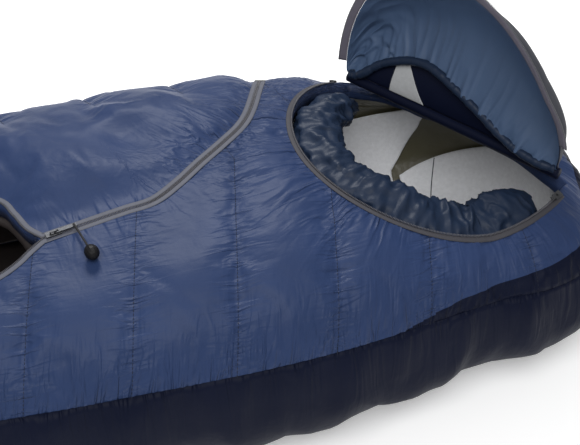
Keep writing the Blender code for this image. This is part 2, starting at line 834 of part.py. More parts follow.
def loop(name, ribs, i):
    """A loop at the widest height of one rib, square to the shell there."""
    base = rib_point(ribs[i], 1, 0)
    run = rib_point(ribs[i + 1], 1, 0) - rib_point(ribs[i - 1], 1, 0)
    up = Vector((0, 0, 1))
    out = run.cross(up).normalized()
    if out.dot(Vector((ribs[i][1].x, ribs[i][1].y, 0))) < 0:
        out = -out
    frame = frame_at(base + out * (LIFT + LOOP_REACH / 2), out, up)
    body = add(name, box_mesh(name, (LOOP_REACH, LOOP_WIDTH, LOOP_TALL), frame), BLACK, 0.8)
    hole_size = (LOOP_REACH - 2 * LOOP_STRAP, LOOP_WIDTH - 2 * LOOP_STRAP, LOOP_TALL * 2)
    cut(body, cutter(name + "_hole", box_mesh(name + "_hole", hole_size, frame)))


near_ribs = ribs_of(-1, 0)
far_ribs = ribs_of(1, 0)
loop("loop_foot_near", near_ribs, 1)
loop("loop_foot_far", far_ribs, 1)
loop("loop_hood", near_ribs, len(near_ribs) - 4)
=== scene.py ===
"""Looks of the mummy sleeping bag: quilted nylon, gathered collar, zips, flap and inside.

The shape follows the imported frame: +X to the head, -Y to the near side, +Z up, in metres.
"""

import math

import bmesh
import bpy
import numpy as np
from mathutils import Matrix, Vector, noise


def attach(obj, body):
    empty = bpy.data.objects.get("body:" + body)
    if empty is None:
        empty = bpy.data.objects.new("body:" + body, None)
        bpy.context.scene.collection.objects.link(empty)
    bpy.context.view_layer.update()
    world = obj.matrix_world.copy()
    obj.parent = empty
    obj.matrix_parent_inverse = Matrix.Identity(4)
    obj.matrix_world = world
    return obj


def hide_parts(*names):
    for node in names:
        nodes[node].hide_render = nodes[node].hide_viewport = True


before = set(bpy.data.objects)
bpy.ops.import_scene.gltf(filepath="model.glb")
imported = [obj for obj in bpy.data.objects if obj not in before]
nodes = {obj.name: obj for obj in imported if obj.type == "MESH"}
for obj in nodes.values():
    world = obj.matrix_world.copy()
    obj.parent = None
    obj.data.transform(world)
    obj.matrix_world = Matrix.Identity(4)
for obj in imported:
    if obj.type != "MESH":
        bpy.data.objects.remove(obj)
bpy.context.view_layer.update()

# Shape of the bag, as in the frame
HEAD_X = 1.00
FOOT_X = -0.990
HEAD_AXIS_X = 0.80
FOOT_AXIS_X = -0.80
HALF_WIDTHS = (
    (FOOT_AXIS_X, 0.20),
    (-0.45, 0.24),
    (0.00, 0.29),
    (0.30, 0.305),
    (0.55, 0.295),
    (HEAD_AXIS_X, 0.245),
)
CREST_HEIGHTS = (
    (FOOT_AXIS_X, 0.26),
    (-0.45, 0.215),
    (-0.10, 0.255),
    (0.30, 0.285),
    (0.55, 0.284),
    (HEAD_AXIS_X, 0.256),
)
WIDEST_HEIGHT = 0.12
SIDE_ROUND = 0.10
FULLNESS = 2.6
END_ROUND = 2.0
NEAR_HOOD_ROUND = 3.0
SEAM_LEVEL = 1.20
BAND_START_X = 0.70
BAND_RISE = 0.26
QUILT_THICK = 0.024
HOOD_FROM = 0.55
FLOOR_GAP = 0.0004
UP = np.array([0, 0, 1])

# Face opening and flap, as in the frame
OPENING_X = 0.78
OPENING_Y = 0.025
OPENING_R = 0.197
NEAR_END = math.radians(-40)
FAR_END = math.radians(-247)
HINGE_Z = 0.249
SET_BACK = 0.0132
FLAP_OPEN = math.radians(80)

# Main zip, as in the frame
ZIP_CLOSED = (
    (0.575, 0.220),
    (0.559, 0.171),
    (0.537, 0.112),
    (0.515, 0.073),
    (0.481, 0.037),
    (0.443, 0.002),
    (0.407, -0.032),
    (0.372, -0.0573),
    (0.332, -0.0655),
    (0.292, -0.0737),
    (0.252, -0.0819),
    (0.222, -0.088),
)
GAP_FAR = (
    (0.203, -0.066),
    (0.189, -0.034),
    (0.170, 0.000),
    (0.110, 0.028),
    (0.000, 0.028),
    (-0.150, -0.005),
    (-0.300, -0.058),
    (-0.380, -0.090),
)
GAP_NEAR = (
    (0.203, -0.103),
    (0.187, -0.117),
    (0.160, -0.132),
    (0.110, -0.148),
    (0.000, -0.160),
    (-0.150, -0.152),
    (-0.300, -0.122),
    (-0.380, -0.096),
)

# Quilting
FIRST_STITCH = -0.81
STITCH_STEP = 0.13
STITCH_COUNT = 14
LEAN = 0.062
FINE_FROM = 0.02
FINE_STEP = 0.0052
COARSE_STEP = 0.015
BAND_ROWS = 5
TOP_ROWS = 66
PUFF = 0.006
TOP_GROWTH = 0.016
TOP_PRESSURE = 2.0
SETTLE_STEPS = 24
MOST_MOVE = 0.012
SHORTEST_EDGE = 0.0006
HOLE_MARGIN = 0.016
BAND_STAGGER = 0.014
LEAN_START = 0.35
LEAN_END = 0.30
LEAN_CLEAR = 0.12
SIDES = (("near", -1), ("far", 1))

# Folds of the upper quilt: how high they stand and how far they reach
RAY_HIGH = 0.0046
RAY_REACH = 0.08
ZIP_PUCKER_HIGH = 0.0062
ZIP_PUCKER_REACH = 0.036
SEAM_PUCKER_HIGH = 0.0026
SEAM_PUCKER_REACH = 0.060
STITCH_PUCKER_HIGH = 0.0022
STITCH_PUCKER_REACH = 0.030
SLACK_HIGH = 0.0042
CREASE_HIGH = 0.0085
UNQUILTED = 0.06
CORD_CALM = 0.038
CORD_CALM_RAMP = 0.08
HINGE_CALM = 0.03
CALM_SINK = 0.0008

# Zips, collar and flap
TAPE_IN = 0.0016
TAPE_OUT = 0.009
LIFT = 0.0008
CORD_START = np.array([0.2649, -0.07937, 0.28817])
BALL_AT = np.array([0.2805, -0.13561, 0.28675])
SLIDE_WAY = np.array([0.978553, 0.200114])
SLIDE_LONG = 0.1
SLIDE_SAG = 0.0008
SAG_FROM = 0.238
SAG_TO = 0.385
SAG_RAMP = 0.03
TAPE_LOW = 0.0004
COIL_IN = 0.0001
COIL_OUT = 0.0024
COIL_LIFT = 0.0006
COIL_HIGH = 0.0016
HOOD_COIL_LIFT = 0.0008
HOOD_COIL_HIGH = 0.0022
TAPE_TOPS = (0.0012, 0.0014, 0.0014, 0.0013, 0.0010)
TOOTH_STEP = 0.0019
TOOTH_SHARE = 0.36
TOOTH_TOP = 0.6
BAR_FACES = np.array([(0, 1, 2, 3), (7, 6, 5, 4), (0, 4, 5, 1), (1, 5, 6, 2), (2, 6, 7, 3), (3, 7, 4, 0)])
COLLAR_HALF = 0.041
COLLAR_TILT = math.radians(12)
COLLAR_DEEP = 0.022
COLLAR_DROP = 0.004
COLLAR_RISE = 0.0025
COLLAR_CLEAR = 0.004
COLLAR_NARROWS = 0.22
PIPING_R = 0.008
PIPING_CLEAR = 0.010
FLAP_ROOT = 0.0086
FLAP_CUT_BACK = 0.0135
FLAP_THICK = 0.018
FLAP_EDGE_THICK = 0.006
FLAP_BULGE = 0.050
FLAP_SIDE_CLEAR = 0.012
FLAP_END_CLEAR = math.radians(9)
FLAP_TAPE_CLEAR = math.radians(19)
HEM_ARCH = (
    (-1.0, 0.0),
    (-0.73, 0.22),
    (-0.50, 0.272),
    (-0.26, 0.276),
    (-0.04, 0.226),
    (0.255, 0.155),
    (0.63, 0.054),
    (1.0, 0.0),
)


def curve_through(stations):
    """A smooth function of x through the stations."""
    xs, vs = np.array(stations).T
    low = np.maximum(np.arange(len(xs)) - 1, 0)
    high = np.minimum(np.arange(len(xs)) + 1, len(xs) - 1)
    slopes = (vs[high] - vs[low]) / (xs[high] - xs[low])

    def value(x):
        x = np.clip(x, xs[0], xs[-1])
        k = np.clip(np.searchsorted(xs, x, side="right") - 1, 0, len(xs) - 2)
        span = xs[k + 1] - xs[k]
        t = (x - xs[k]) / span
        return (
            (2 * t**3 - 3 * t**2 + 1) * vs[k]
            + (t**3 - 2 * t**2 + t) * slopes[k] * span
            + (-2 * t**3 + 3 * t**2) * vs[k + 1]
            + (t**3 - t**2) * slopes[k + 1] * span
        )

    return value


half_width = curve_through(HALF_WIDTHS)
crest_height = curve_through(CREST_HEIGHTS)
hem_at = curve_through(HEM_ARCH)
FOOT_ARC = 0.19
HEAD_ARC = 0.23
FOOT_TIP = FOOT_AXIS_X - FOOT_ARC * math.pi / 2
HEAD_TIP = HEAD_AXIS_X + HEAD_ARC * math.pi / 2


def unit(ways):
    """The same ways, each of length one."""
    return ways / np.maximum(np.linalg.norm(ways, axis=-1, keepdims=True), 1e-12)


def grid(first, second):
    return np.meshgrid(first, second, indexing="ij")


def fields(*columns):
    """Coordinates side by side, a row for each point."""
    return np.stack([np.ravel(c) for c in np.broadcast_arrays(*columns)], axis=1)


def run_lengths(line):
    """How far each point of a line lies along it."""
    return np.concatenate([[0], np.cumsum(np.linalg.norm(np.diff(line, axis=0), axis=1))])


def around(sides):
    """Angles of the points round a section."""
    return 2 * math.pi * np.arange(sides) / sides


def smooth_step(t):
    t = np.clip(t, 0, 1)
    return t * t * (3 - 2 * t)


def end_width(turn, reach, half, near_hood):
    """Half width of a rounded end at a turn from straight across, squarer at the hood's near corner."""
    power = np.where(near_hood, NEAR_HOOD_ROUND, END_ROUND)
    return ((np.sin(turn) / reach) ** power + (np.cos(turn) / half) ** power) ** (-1 / power)


def skin(s, level, depth, side):
    """Points of the bag at rib s, from its base edge (0) by its widest (1) to its crest (2)."""
    x = np.clip(s, FOOT_AXIS_X, HEAD_AXIS_X)
    head = np.clip((s - HEAD_AXIS_X) / HEAD_ARC, 0, math.pi / 2)
    foot = np.clip((FOOT_AXIS_X - s) / FOOT_ARC, 0, math.pi / 2)
    reach = np.where(s > 0, HEAD_X - HEAD_AXIS_X, FOOT_AXIS_X - FOOT_X)
    width = end_width(head + foot, reach, half_width(x), (s > 0) & (side < 0))
    height = crest_height(x)
    low = np.clip(level, 0, 1) * math.pi / 2
    high = np.clip(level - 1, 0, 1) * math.pi / 2
    out_low = width - SIDE_ROUND + (SIDE_ROUND - depth) * np.sin(low)
    z_low = depth + (WIDEST_HEIGHT - depth) * (1 - np.cos(low))
    out_high = (width - depth) * np.clip(np.cos(high), 0, 1) ** (2 / FULLNESS)
    z_high = WIDEST_HEIGHT + (height - depth - WIDEST_HEIGHT) * np.sin(high) ** (2 / FULLNESS)
    out = np.where(level <= 1, out_low, out_high)
    out = np.where(level >= 2, 0, out)
    z = np.where(level <= 1, z_low, z_high)
    way_x = np.sin(head) - np.sin(foot)
    return np.stack([x + way_x * out, side * np.cos(head + foot) * out, z], axis=-1)


def dome(x, y, depth=0.0):
    """Height of the upper quilt's smooth surface over a point of the floor."""
    axis = np.clip(x, FOOT_AXIS_X, HEAD_AXIS_X)
    turn = np.arctan2(np.abs(x - axis), np.abs(y))
    reach = np.where(x > 0, HEAD_X - HEAD_AXIS_X, FOOT_AXIS_X - FOOT_X)
    width = end_width(turn, reach, half_width(axis), (x > 0) & (y < 0)) - depth
    share = np.clip(np.hypot(x - axis, y) / width, 0, 1)
    rise = (1 - share**FULLNESS) ** (1 / FULLNESS)
    return WIDEST_HEIGHT + (crest_height(axis) - depth - WIDEST_HEIGHT) * rise


# Paths on the quilt


def smooth_path(points, step):
    """Points at about this spacing on a smooth line through these."""
    line = np.array(points, float)
    made = []
    for i in range(len(line) - 1):
        p0, p1, p2, p3 = line[max(i - 1, 0)], line[i], line[i + 1], line[min(i + 2, len(line) - 1)]
        count = max(1, round(float(np.linalg.norm(p2 - p1)) / step))
        first = p2 - p0
        second = 2 * p0 - 5 * p1 + 4 * p2 - p3
        third = 3 * p1 - p0 - 3 * p2 + p3
        for t in np.arange(count) / count:
            made.append(0.5 * (2 * p1 + first * t + second * t**2 + third * t**3))
    return np.array(made + [line[-1]])


PATH_STEP = 0.004
closed_path = smooth_path(ZIP_CLOSED, PATH_STEP)
gap_far = smooth_path((ZIP_CLOSED[-1],) + GAP_FAR, PATH_STEP)
gap_near = smooth_path((ZIP_CLOSED[-1],) + GAP_NEAR, PATH_STEP)
gap_outline = np.concatenate([gap_far, gap_near[::-1]])


def opening_point(angle, radius):
    return np.stack([OPENING_X + radius * np.cos(angle), OPENING_Y + radius * np.sin(angle)], axis=-1)


hinge_near = opening_point(NEAR_END, OPENING_R)
hinge_far = opening_point(FAR_END, OPENING_R)
hinge_mid = (hinge_near + hinge_far) / 2
hinge_half = np.linalg.norm(hinge_near - hinge_far) / 2
hinge_way = (hinge_near - hinge_far) / (2 * hinge_half)
flap_way = np.array([hinge_way[1], -hinge_way[0]])
if flap_way @ (opening_point(math.radians(-140), 1) - hinge_mid) < 0:
    flap_way = -flap_way
rim_angles = np.linspace(NEAR_END, FAR_END, 200)
chord = np.linspace(0, 1, 60)[:, None]
chord_line = hinge_far * (1 - chord) + hinge_near * chord - flap_way * SET_BACK
opening_outline = np.concatenate([opening_point(rim_angles, OPENING_R), chord_line])


def inside(points, outline):
    """Which points lie inside the closed outline."""
    x, y = points[:, 0], points[:, 1]
    found = np.zeros(len(points), bool)
    for (x0, y0), (x1, y1) in zip(outline, np.roll(outline, -1, axis=0)):
        if y0 == y1:
            continue
        crosses = (y0 > y) != (y1 > y)
        found ^= crosses & (x < (x1 - x0) * (y - y0) / (y1 - y0) + x0)
    return found


def nearest(points, line):
    """(distance, nearest spot) from each point's plan to a line of points."""
    distance = np.full(len(points), np.inf)
    spot = np.zeros((len(points), 2))
    for start, end in zip(line, line[1:]):
        run = end - start
        share = np.clip((points[:, :2] - start) @ run / max(run @ run, 1e-12), 0, 1)
        here = start + share[:, None] * run
        apart = np.linalg.norm(points[:, :2] - here, axis=1)
        better = apart < distance
        distance[better] = apart[better]
        spot[better] = here[better]
    return distance, spot


# Meshes


def new_object(name, data):
    made = bpy.data.objects.new(name, data)
    bpy.context.scene.collection.objects.link(made)
    return made


def mesh_object(name, points, faces):
    mesh = bpy.data.meshes.new(name)
    corners = [tuple(dict.fromkeys(f)) for f in np.array(faces).tolist()]
    mesh.from_pydata([tuple(p) for p in points], [], corners)
    mesh.polygons.foreach_set("use_smooth", [True] * len(mesh.polygons))
    mesh.update()
    return new_object(name, mesh)


def quads(count, across, start=0, flip=False, wrap=False):
    """Faces of a grid of count by across points, closed across where it wraps."""
    i, j = grid(np.arange(count - 1), np.arange(across if wrap else across - 1))
    k = (j + 1) % across
    made = np.stack([i * across + j, (i + 1) * across + j, (i + 1) * across + k, i * across + k], axis=-1)
    made = start + made.reshape(-1, 4)
    return made[:, ::-1] if flip else made


def normals_of(points, faces):
    """Vertex normals of a mesh of quads."""
    a, b, c, d = (points[faces[:, k]] for k in range(4))
    face = np.cross(c - a, d - b)
    total = np.zeros_like(points)
    for k in range(4):
        np.add.at(total, faces[:, k], face)
    return unit(total)


def directed_edges(faces):
    made = np.concatenate([faces[:, [k, (k + 1) % 4]] for k in range(4)])
    return made[made[:, 0] != made[:, 1]]


def border_edges(faces, count):
    """Edges that only one face uses, in that face's direction."""
    made = directed_edges(faces)
    keys = made[:, 0] * count + made[:, 1]
    back = made[:, 1] * count + made[:, 0]
    return made[~np.isin(back, keys)]


def padded_mesh(name, outer, inner, faces, paints, outer_slots=0, inner_slots=0):
    """A closed pad between two layers, with the number of a paint for its outer and inner faces."""
    count = len(outer)
    start, end = border_edges(faces, count).T
    walls = np.stack([end, start, start + count, end + count], axis=1)
    all_faces = np.concatenate([faces, faces[:, ::-1] + count, walls])
    obj = mesh_object(name, np.concatenate([outer, inner]), all_faces)
    for made in paints:
        obj.data.materials.append(made)
    slots = np.zeros(len(all_faces), int)
    slots[: len(faces)] = outer_slots
    slots[len(faces) : 2 * len(faces)] = inner_slots
    obj.data.polygons.foreach_set("material_index", slots)
    return obj


def rough(points, scale, seed, octaves=2):
    """Smooth noise at these points, about -1 to 1."""
    shift = Vector((seed * 7.13, seed * 3.71, seed * 1.37))
    return np.array([noise.fractal(Vector(p) * scale + shift, 1.0, 2.0, octaves) for p in points])


def folds(points, seed, octaves=2):
    """Sharp-crested folds: -1 in the valleys to 1 on the crests."""
    return 1 - 2 * np.minimum(1, 2.2 * np.abs(rough(points, 1.0, seed, octaves)))


def rises(distance, width):
    return 1 - np.exp(-np.maximum(distance, 0) / width)


# Materials


NYLON = dict(change=0.06, patch=0.09, crease=0.0014, crease_size=0.035, grain=0.00006, grain_size=0.0009)
TAPE = dict(change=0.06, patch=0.01, crease=0.0002, crease_size=0.02, grain=0.0002, grain_size=0.0008)
SATIN = dict(change=0.12, patch=0.06, crease=0.004, crease_size=0.04, grain=0.00005, grain_size=0.001)
FELT = dict(change=0.05, patch=0.006, crease=0.0015, crease_size=0.05, grain=0.0004, grain_size=0.0015)
STRAP = dict(change=0.2, patch=0.003, crease=0.0003, crease_size=0.004, grain=0.0003, grain_size=0.0012)
THREAD = dict(change=0.2, patch=0.003, crease=0.0001, crease_size=0.002, grain=0.0001, grain_size=0.001)
COIL = dict(change=0.1, patch=0.003, crease=0.0001, crease_size=0.003, grain=0.00005, grain_size=0.001)
STEEL = dict(change=0.15, patch=0.004, crease=0.0002, crease_size=0.003, grain=0.00004, grain_size=0.0006)
PLASTIC = dict(change=0.2, patch=0.004, crease=0.0001, crease_size=0.004, grain=0.00005, grain_size=0.0008)
PUCKER_DEEP = 0.0040


def new_node(tree, kind, **inputs):
    made = tree.nodes.new("ShaderNode" + kind)
    for key, value in inputs.items():
        made.inputs[key].default_value = value
    return made


def shader_of(made):
    return made.node_tree.nodes["Principled BSDF"]


def paint(name, colour, roughness, **more):
    """A plain paint, with any other inputs of the shader by name and underscores for spaces."""
    made = bpy.data.materials.new(name)
    made.use_nodes = True
    inputs = shader_of(made).inputs
    inputs["Base Color"].default_value = (*colour, 1)
    inputs["Roughness"].default_value = roughness
    for key, value in more.items():
        inputs[key.replace("_", " ")].default_value = value
    return made


def textured(name, colour, roughness, surface, **more):
    """A paint with uneven colour in patches, soft creases and a fine grain."""
    made = paint(name, colour, roughness, **more)
    tree = made.node_tree
    shader = shader_of(made)
    place = new_node(tree, "TexCoord")

    def cloud(size, detail):
        made_cloud = new_node(tree, "TexNoise", Scale=1 / size, Detail=detail)
        tree.links.new(place.outputs["Object"], made_cloud.inputs["Vector"])
        return made_cloud

    def bump(height, deep):
        made_bump = new_node(tree, "Bump", Distance=deep)
        tree.links.new(height.outputs["Fac"], made_bump.inputs["Height"])
        return made_bump

    ramp = new_node(tree, "ValToRGB")
    for element, position, way in zip(ramp.color_ramp.elements, (0.3, 0.7), (-1, 1)):
        element.position = position
        element.color = (*(c * (1 + way * surface["change"]) for c in colour), 1)
    tree.links.new(cloud(surface["patch"], 3).outputs["Fac"], ramp.inputs["Fac"])
    tree.links.new(ramp.outputs["Color"], shader.inputs["Base Color"])
    creases = bump(cloud(surface["crease_size"], 4), surface["crease"])
    grain = bump(cloud(surface["grain_size"], 1), surface["grain"])
    tree.links.new(creases.outputs["Normal"], grain.inputs["Normal"])
    tree.links.new(grain.outputs["Normal"], shader.inputs["Normal"])
    return made


def puckered(made, *families):
    """Fine puckers beside each family of seams, from the mesh's own place and strength fields."""
    tree = made.node_tree
    shader = shader_of(made)
    before = shader.inputs["Normal"].links[0].from_socket
    total = None
    for family in families:
        place = new_node(tree, "Attribute")
        place.attribute_name = family + "_place"
        strength = new_node(tree, "Attribute")
        strength.attribute_name = family + "_strength"
        ripple = new_node(tree, "TexNoise", Scale=1.0, Detail=2.0, Distortion=0.5)
        tree.links.new(place.outputs["Vector"], ripple.inputs["Vector"])
        ridge = new_node(tree, "ValToRGB")
        for element, position, value in zip(ridge.color_ramp.elements, (0.36, 0.50), (0, 1)):
            element.position = position
            element.color = (value, value, value, 1)
        ridge.color_ramp.elements.new(0.64).color = (0, 0, 0, 1)
        ridge.color_ramp.interpolation = "EASE"
        tree.links.new(ripple.outputs["Fac"], ridge.inputs["Fac"])
        share = new_node(tree, "Math")
        share.operation = "MULTIPLY_ADD"
        tree.links.new(ridge.outputs["Color"], share.inputs[0])
        tree.links.new(strength.outputs["Fac"], share.inputs[1])
        share.inputs[2].default_value = 0.0
        if total is not None:
            tree.links.new(total, share.inputs[2])
        total = share.outputs[0]
    bump = new_node(tree, "Bump", Distance=PUCKER_DEEP)
    tree.links.new(total, bump.inputs["Height"])
    tree.links.new(before, bump.inputs["Normal"])
    tree.links.new(bump.outputs["Normal"], shader.inputs["Normal"])


def add_field(obj, name, values):
    """A number or a vector at each point of a mesh, for its shader."""
    kind = "FLOAT" if values.ndim == 1 else "FLOAT_VECTOR"
    field = obj.data.attributes.new(name, kind, "POINT")
    padded_values = np.zeros((len(obj.data.vertices),) + values.shape[1:])
    padded_values[: len(values)] = values
    field.data.foreach_set("value" if values.ndim == 1 else "vector", padded_values.ravel())


blue = textured(
    "blue_nylon",
    (0.021, 0.039, 0.104),
    0.47,
    NYLON,
    Specular_IOR_Level=0.16,
    Sheen_Weight=0.05,
    Sheen_Roughness=0.35,
    Sheen_Tint=(0.55, 0.62, 0.95, 1),
)
puckered(blue, "stitch", "seam", "zip", "rim")
navy = textured("navy_nylon", (0.0045, 0.0066, 0.0190), 0.50, NYLON, Specular_IOR_Level=0.07)
puckered(navy, "seam")
slate = textured("slate_nylon", (0.058, 0.096, 0.175), 0.50, NYLON, Specular_IOR_Level=0.25)
gathered = textured("collar_nylon", (0.013, 0.023, 0.048), 0.44, NYLON, Specular_IOR_Level=0.17)
brown = textured("brown_lining", (0.045, 0.037, 0.036), 0.45, NYLON, Specular_IOR_Level=0.3)
olive = textured("olive_satin", (0.085, 0.078, 0.045), 0.38, SATIN, Sheen_Weight=0.1)
felt = textured("grey_felt", (0.84, 0.85, 0.88), 0.95, FELT, Sheen_Weight=0.2)
felt_shade = textured("shaded_felt", (0.40, 0.41, 0.42), 0.95, FELT, Sheen_Weight=0.1)
tape_grey = textured("tape_grey", (0.085, 0.09, 0.115), 0.7, TAPE)
tape_mauve = textured("tape_mauve", (0.12, 0.11, 0.14), 0.7, TAPE)
tape_dark = textured("tape_dark", (0.035, 0.034, 0.042), 0.7, TAPE)
webbing = textured("black_webbing", (0.010, 0.010, 0.012), 0.8, STRAP)
thread = textured("dark_thread", (0.006, 0.009, 0.022), 0.8, THREAD)
coil_grey = textured("coil_grey", (0.075, 0.075, 0.088), 0.4, COIL)


# Upper quilt

stitches = FIRST_STITCH + STITCH_STEP * np.arange(STITCH_COUNT)
marks = np.concatenate([[FOOT_TIP], stitches, [HEAD_TIP]])


def nearest_stitch(s):
    return np.abs(s[:, None] - stitches[None]).min(axis=1)


def stations(fine, coarse):
    """Rib places between the stitch lines, closer together at the head half."""
    made = []
    for low, high in zip(marks, marks[1:]):
        count = max(2, round((high - low) / (fine if low >= FINE_FROM else coarse)))
        made.append(low + (high - low) * np.arange(count) / count)
    return np.concatenate(made + [[HEAD_TIP]])


level_table = np.linspace(SEAM_LEVEL, 2, 400)
lengths = run_lengths(skin(np.zeros(len(level_table)), level_table, 0, 1))
HALF_ARC = lengths[-1]
share_table = lengths / HALF_ARC


def band_share(s):
    """How far up the quilt the dark band reaches, as a share of its half width."""
    t = np.clip((s - BAND_START_X) / (HEAD_TIP - BAND_START_X), 0, 1)
    return np.interp(SEAM_LEVEL + 0.004 + BAND_RISE * t**0.8, level_table, share_table)


columns = stations(FINE_STEP, COARSE_STEP)
rows = np.arange(TOP_ROWS + 1)
grid_u = np.repeat(columns[:, None], len(rows), axis=1)
low_share = band_share(grid_u)
upper = np.clip((rows - BAND_ROWS) / (TOP_ROWS - BAND_ROWS), 0, 1)[None]
lower = np.clip(rows / BAND_ROWS, 0, 1)[None]
grid_share = np.where(rows[None] <= BAND_ROWS, low_share * lower, low_share + (1 - low_share) * upper)
fade = smooth_step((grid_u - FOOT_TIP) / LEAN_START)
fade *= smooth_step((HEAD_TIP - LEAN_CLEAR - grid_u) / LEAN_END)
grid_s = grid_u - LEAN * (1 - grid_share) * fade
grid_level = np.interp(grid_share, share_table, level_table)
grid_level[:, -1] = 2

half_count = grid_s.size
top_points = np.concatenate([skin(grid_s, grid_level, 0, side).reshape(-1, 3) for side in (-1, 1)])
near_faces = quads(len(columns), len(rows))
top_faces = np.concatenate([near_faces, near_faces[:, ::-1] + half_count])
# The halves share the crest and both tips, and the crest's points at the foot are one
shared = np.arange(len(top_points))
crest = np.arange(len(columns)) * len(rows) + TOP_ROWS
crest_to = np.where(columns < FOOT_AXIS_X, crest[0], crest)
shared[crest] = crest_to
shared[half_count + crest] = crest_to
for tip in (0, len(columns) - 1):
    at = tip * len(rows) + rows[:-1]
    shared[half_count + at] = at
top_faces = shared[top_faces]
top_u = np.tile(grid_u.ravel(), 2)
top_share = np.tile(grid_share.ravel(), 2)
grid_band = (rows[None] < BAND_ROWS) & (grid_u > BAND_START_X + BAND_STAGGER * rows[None])
top_band = np.tile(grid_band.ravel(), 2)
top_hood = np.tile((grid_s > HOOD_FROM).ravel(), 2)

centres = top_points[top_faces].mean(axis=1)
top_faces = top_faces[~(inside(centres, opening_outline) | inside(centres, gap_outline))]

# The edges of the holes move to their true lines
border = np.unique(border_edges(top_faces, len(top_points)))
for line in (opening_outline, gap_outline):
    apart, spot = nearest(top_points[border], line)
    close = apart < HOLE_MARGIN
    where = border[close]
    top_points[where, :2] = spot[close]
    top_points[where, 2] = dome(spot[close][:, 0], spot[close][:, 1])

# Edges that the trimming left very short become one point
for a, b in directed_edges(top_faces):
    if np.linalg.norm(top_points[a] - top_points[b]) < SHORTEST_EDGE:
        top_faces[top_faces == max(a, b)] = min(a, b)
top_faces = top_faces[[len(set(face)) > 2 for face in top_faces.tolist()]]
used = np.unique(top_faces)
remap = np.full(len(top_points), -1)
remap[used] = np.arange(len(used))
top_faces = remap[top_faces]
top_points, top_u, top_share, top_band, top_hood = (
    a[used] for a in (top_points, top_u, top_share, top_band, top_hood)
)

to_zip, zip_spot = nearest(top_points, closed_path)
to_rim = nearest(top_points, opening_outline)[0]
to_gap = nearest(top_points, gap_outline)[0]
to_seam = top_share * HALF_ARC
to_stitch = nearest_stitch(top_u)
to_tape = np.minimum(np.minimum(to_zip, to_rim), to_gap) - TAPE_OUT

far_side = smooth_step((top_points[:, 1] + 0.03) / 0.10)
# Above the zip the far panel is slack, and its quilting doesn't show
zip_line = np.concatenate([closed_path, gap_far])[::-1]
past_zip = top_points[:, 1] - np.interp(top_points[:, 0], zip_line[:, 0], zip_line[:, 1])
slack_side = smooth_step(past_zip / 0.02) * smooth_step((0.20 - top_points[:, 1]) / 0.05)
slack_side *= smooth_step(top_points[:, 0] / 0.1)
to_stitch = to_stitch + UNQUILTED * slack_side
puff = PUFF * rises(to_stitch, 0.026) * rises(to_seam, 0.028) * rises(to_tape, 0.018)
top_normals = normals_of(top_points, top_faces)

# Gathers run out from the face opening, and short puckers stand on the zip and the lower seam
bearing = np.arctan2(top_points[:, 1] - OPENING_Y, top_points[:, 0] - OPENING_X)
on_chest = smooth_step((np.cos(bearing - math.radians(165)) - 0.1) / 0.5)
rays = folds(fields(np.cos(bearing) * 5, np.sin(bearing) * 5, to_rim * 5), 41)
puff += RAY_HIGH * rays * np.exp(-to_rim / RAY_REACH) * rises(to_tape, 0.012) * (0.2 + 0.8 * on_chest)
zip_run = zip_spot @ np.array([0.72, 0.69])
puckers = ZIP_PUCKER_HIGH * folds(fields(zip_run * 32, to_zip * 6, far_side), 43)
puff += puckers * np.exp(-to_zip / ZIP_PUCKER_REACH) * rises(to_tape, 0.010) * (0.15 + 0.85 * far_side)
puckers = SEAM_PUCKER_HIGH * folds(fields(top_u * 20, to_seam * 7, far_side * 3), 45)
puff += puckers * np.exp(-to_seam / SEAM_PUCKER_REACH) * rises(to_seam, 0.008)
puckers = STITCH_PUCKER_HIGH * folds(fields(to_stitch * 6, to_seam * 24, top_u * 3 + far_side), 49)
puff += puckers * np.exp(-to_stitch / STITCH_PUCKER_REACH) * rises(to_stitch, 0.004) * rises(to_tape, 0.02)
slack = folds(top_points * np.array([5, 3.2, 4]) + top_points[:, [1, 0, 2]] * np.array([4.5, 1.5, 0]), 47)
slack *= rises(to_tape, 0.03) * rises(to_seam, 0.03) * rises(to_stitch, 0.02)
puff += SLACK_HIGH * slack * (0.55 + far_side)
drift = 0.35 * rough(top_points, 6, 52)
creases = fields((top_u + 0.4 * top_points[:, 1]) * 11 + drift, top_points[:, 1] * 6 + drift, 0)
puff += CREASE_HIGH * folds(creases, 51, 1) * slack_side * rises(to_tape, 0.035) * rises(to_seam, 0.03)

# The quilt lies flatter under the swing of the pull cord and behind the hinge
cord_sweep = np.linspace(0, SLIDE_LONG, 20)[:, None] * SLIDE_WAY + (CORD_START + BALL_AT)[:2] / 2
hinge_line = hinge_mid + np.linspace(-1, 1, 20)[:, None] * hinge_half * hinge_way
cord_calm = smooth_step((nearest(top_points, cord_sweep)[0] - CORD_CALM) / CORD_CALM_RAMP)
hinge_calm = smooth_step((nearest(top_points, hinge_line)[0] - HINGE_CALM) / HINGE_CALM)
calm = np.minimum(cord_calm, hinge_calm)
puff = puff * calm - CALM_SINK * (1 - calm) * rises(to_tape, 0.01)
top_outer = top_points + top_normals * puff[:, None]


CLOTH = dict(
    quality=4,
    mass=0.02,
    tension_stiffness=12,
    compression_stiffness=12,
    shear_stiffness=6,
    bending_stiffness=0.02,
    tension_damping=8,
    compression_damping=8,
    air_damping=3,
    use_pressure=True,
    vertex_group_mass="pins",
)


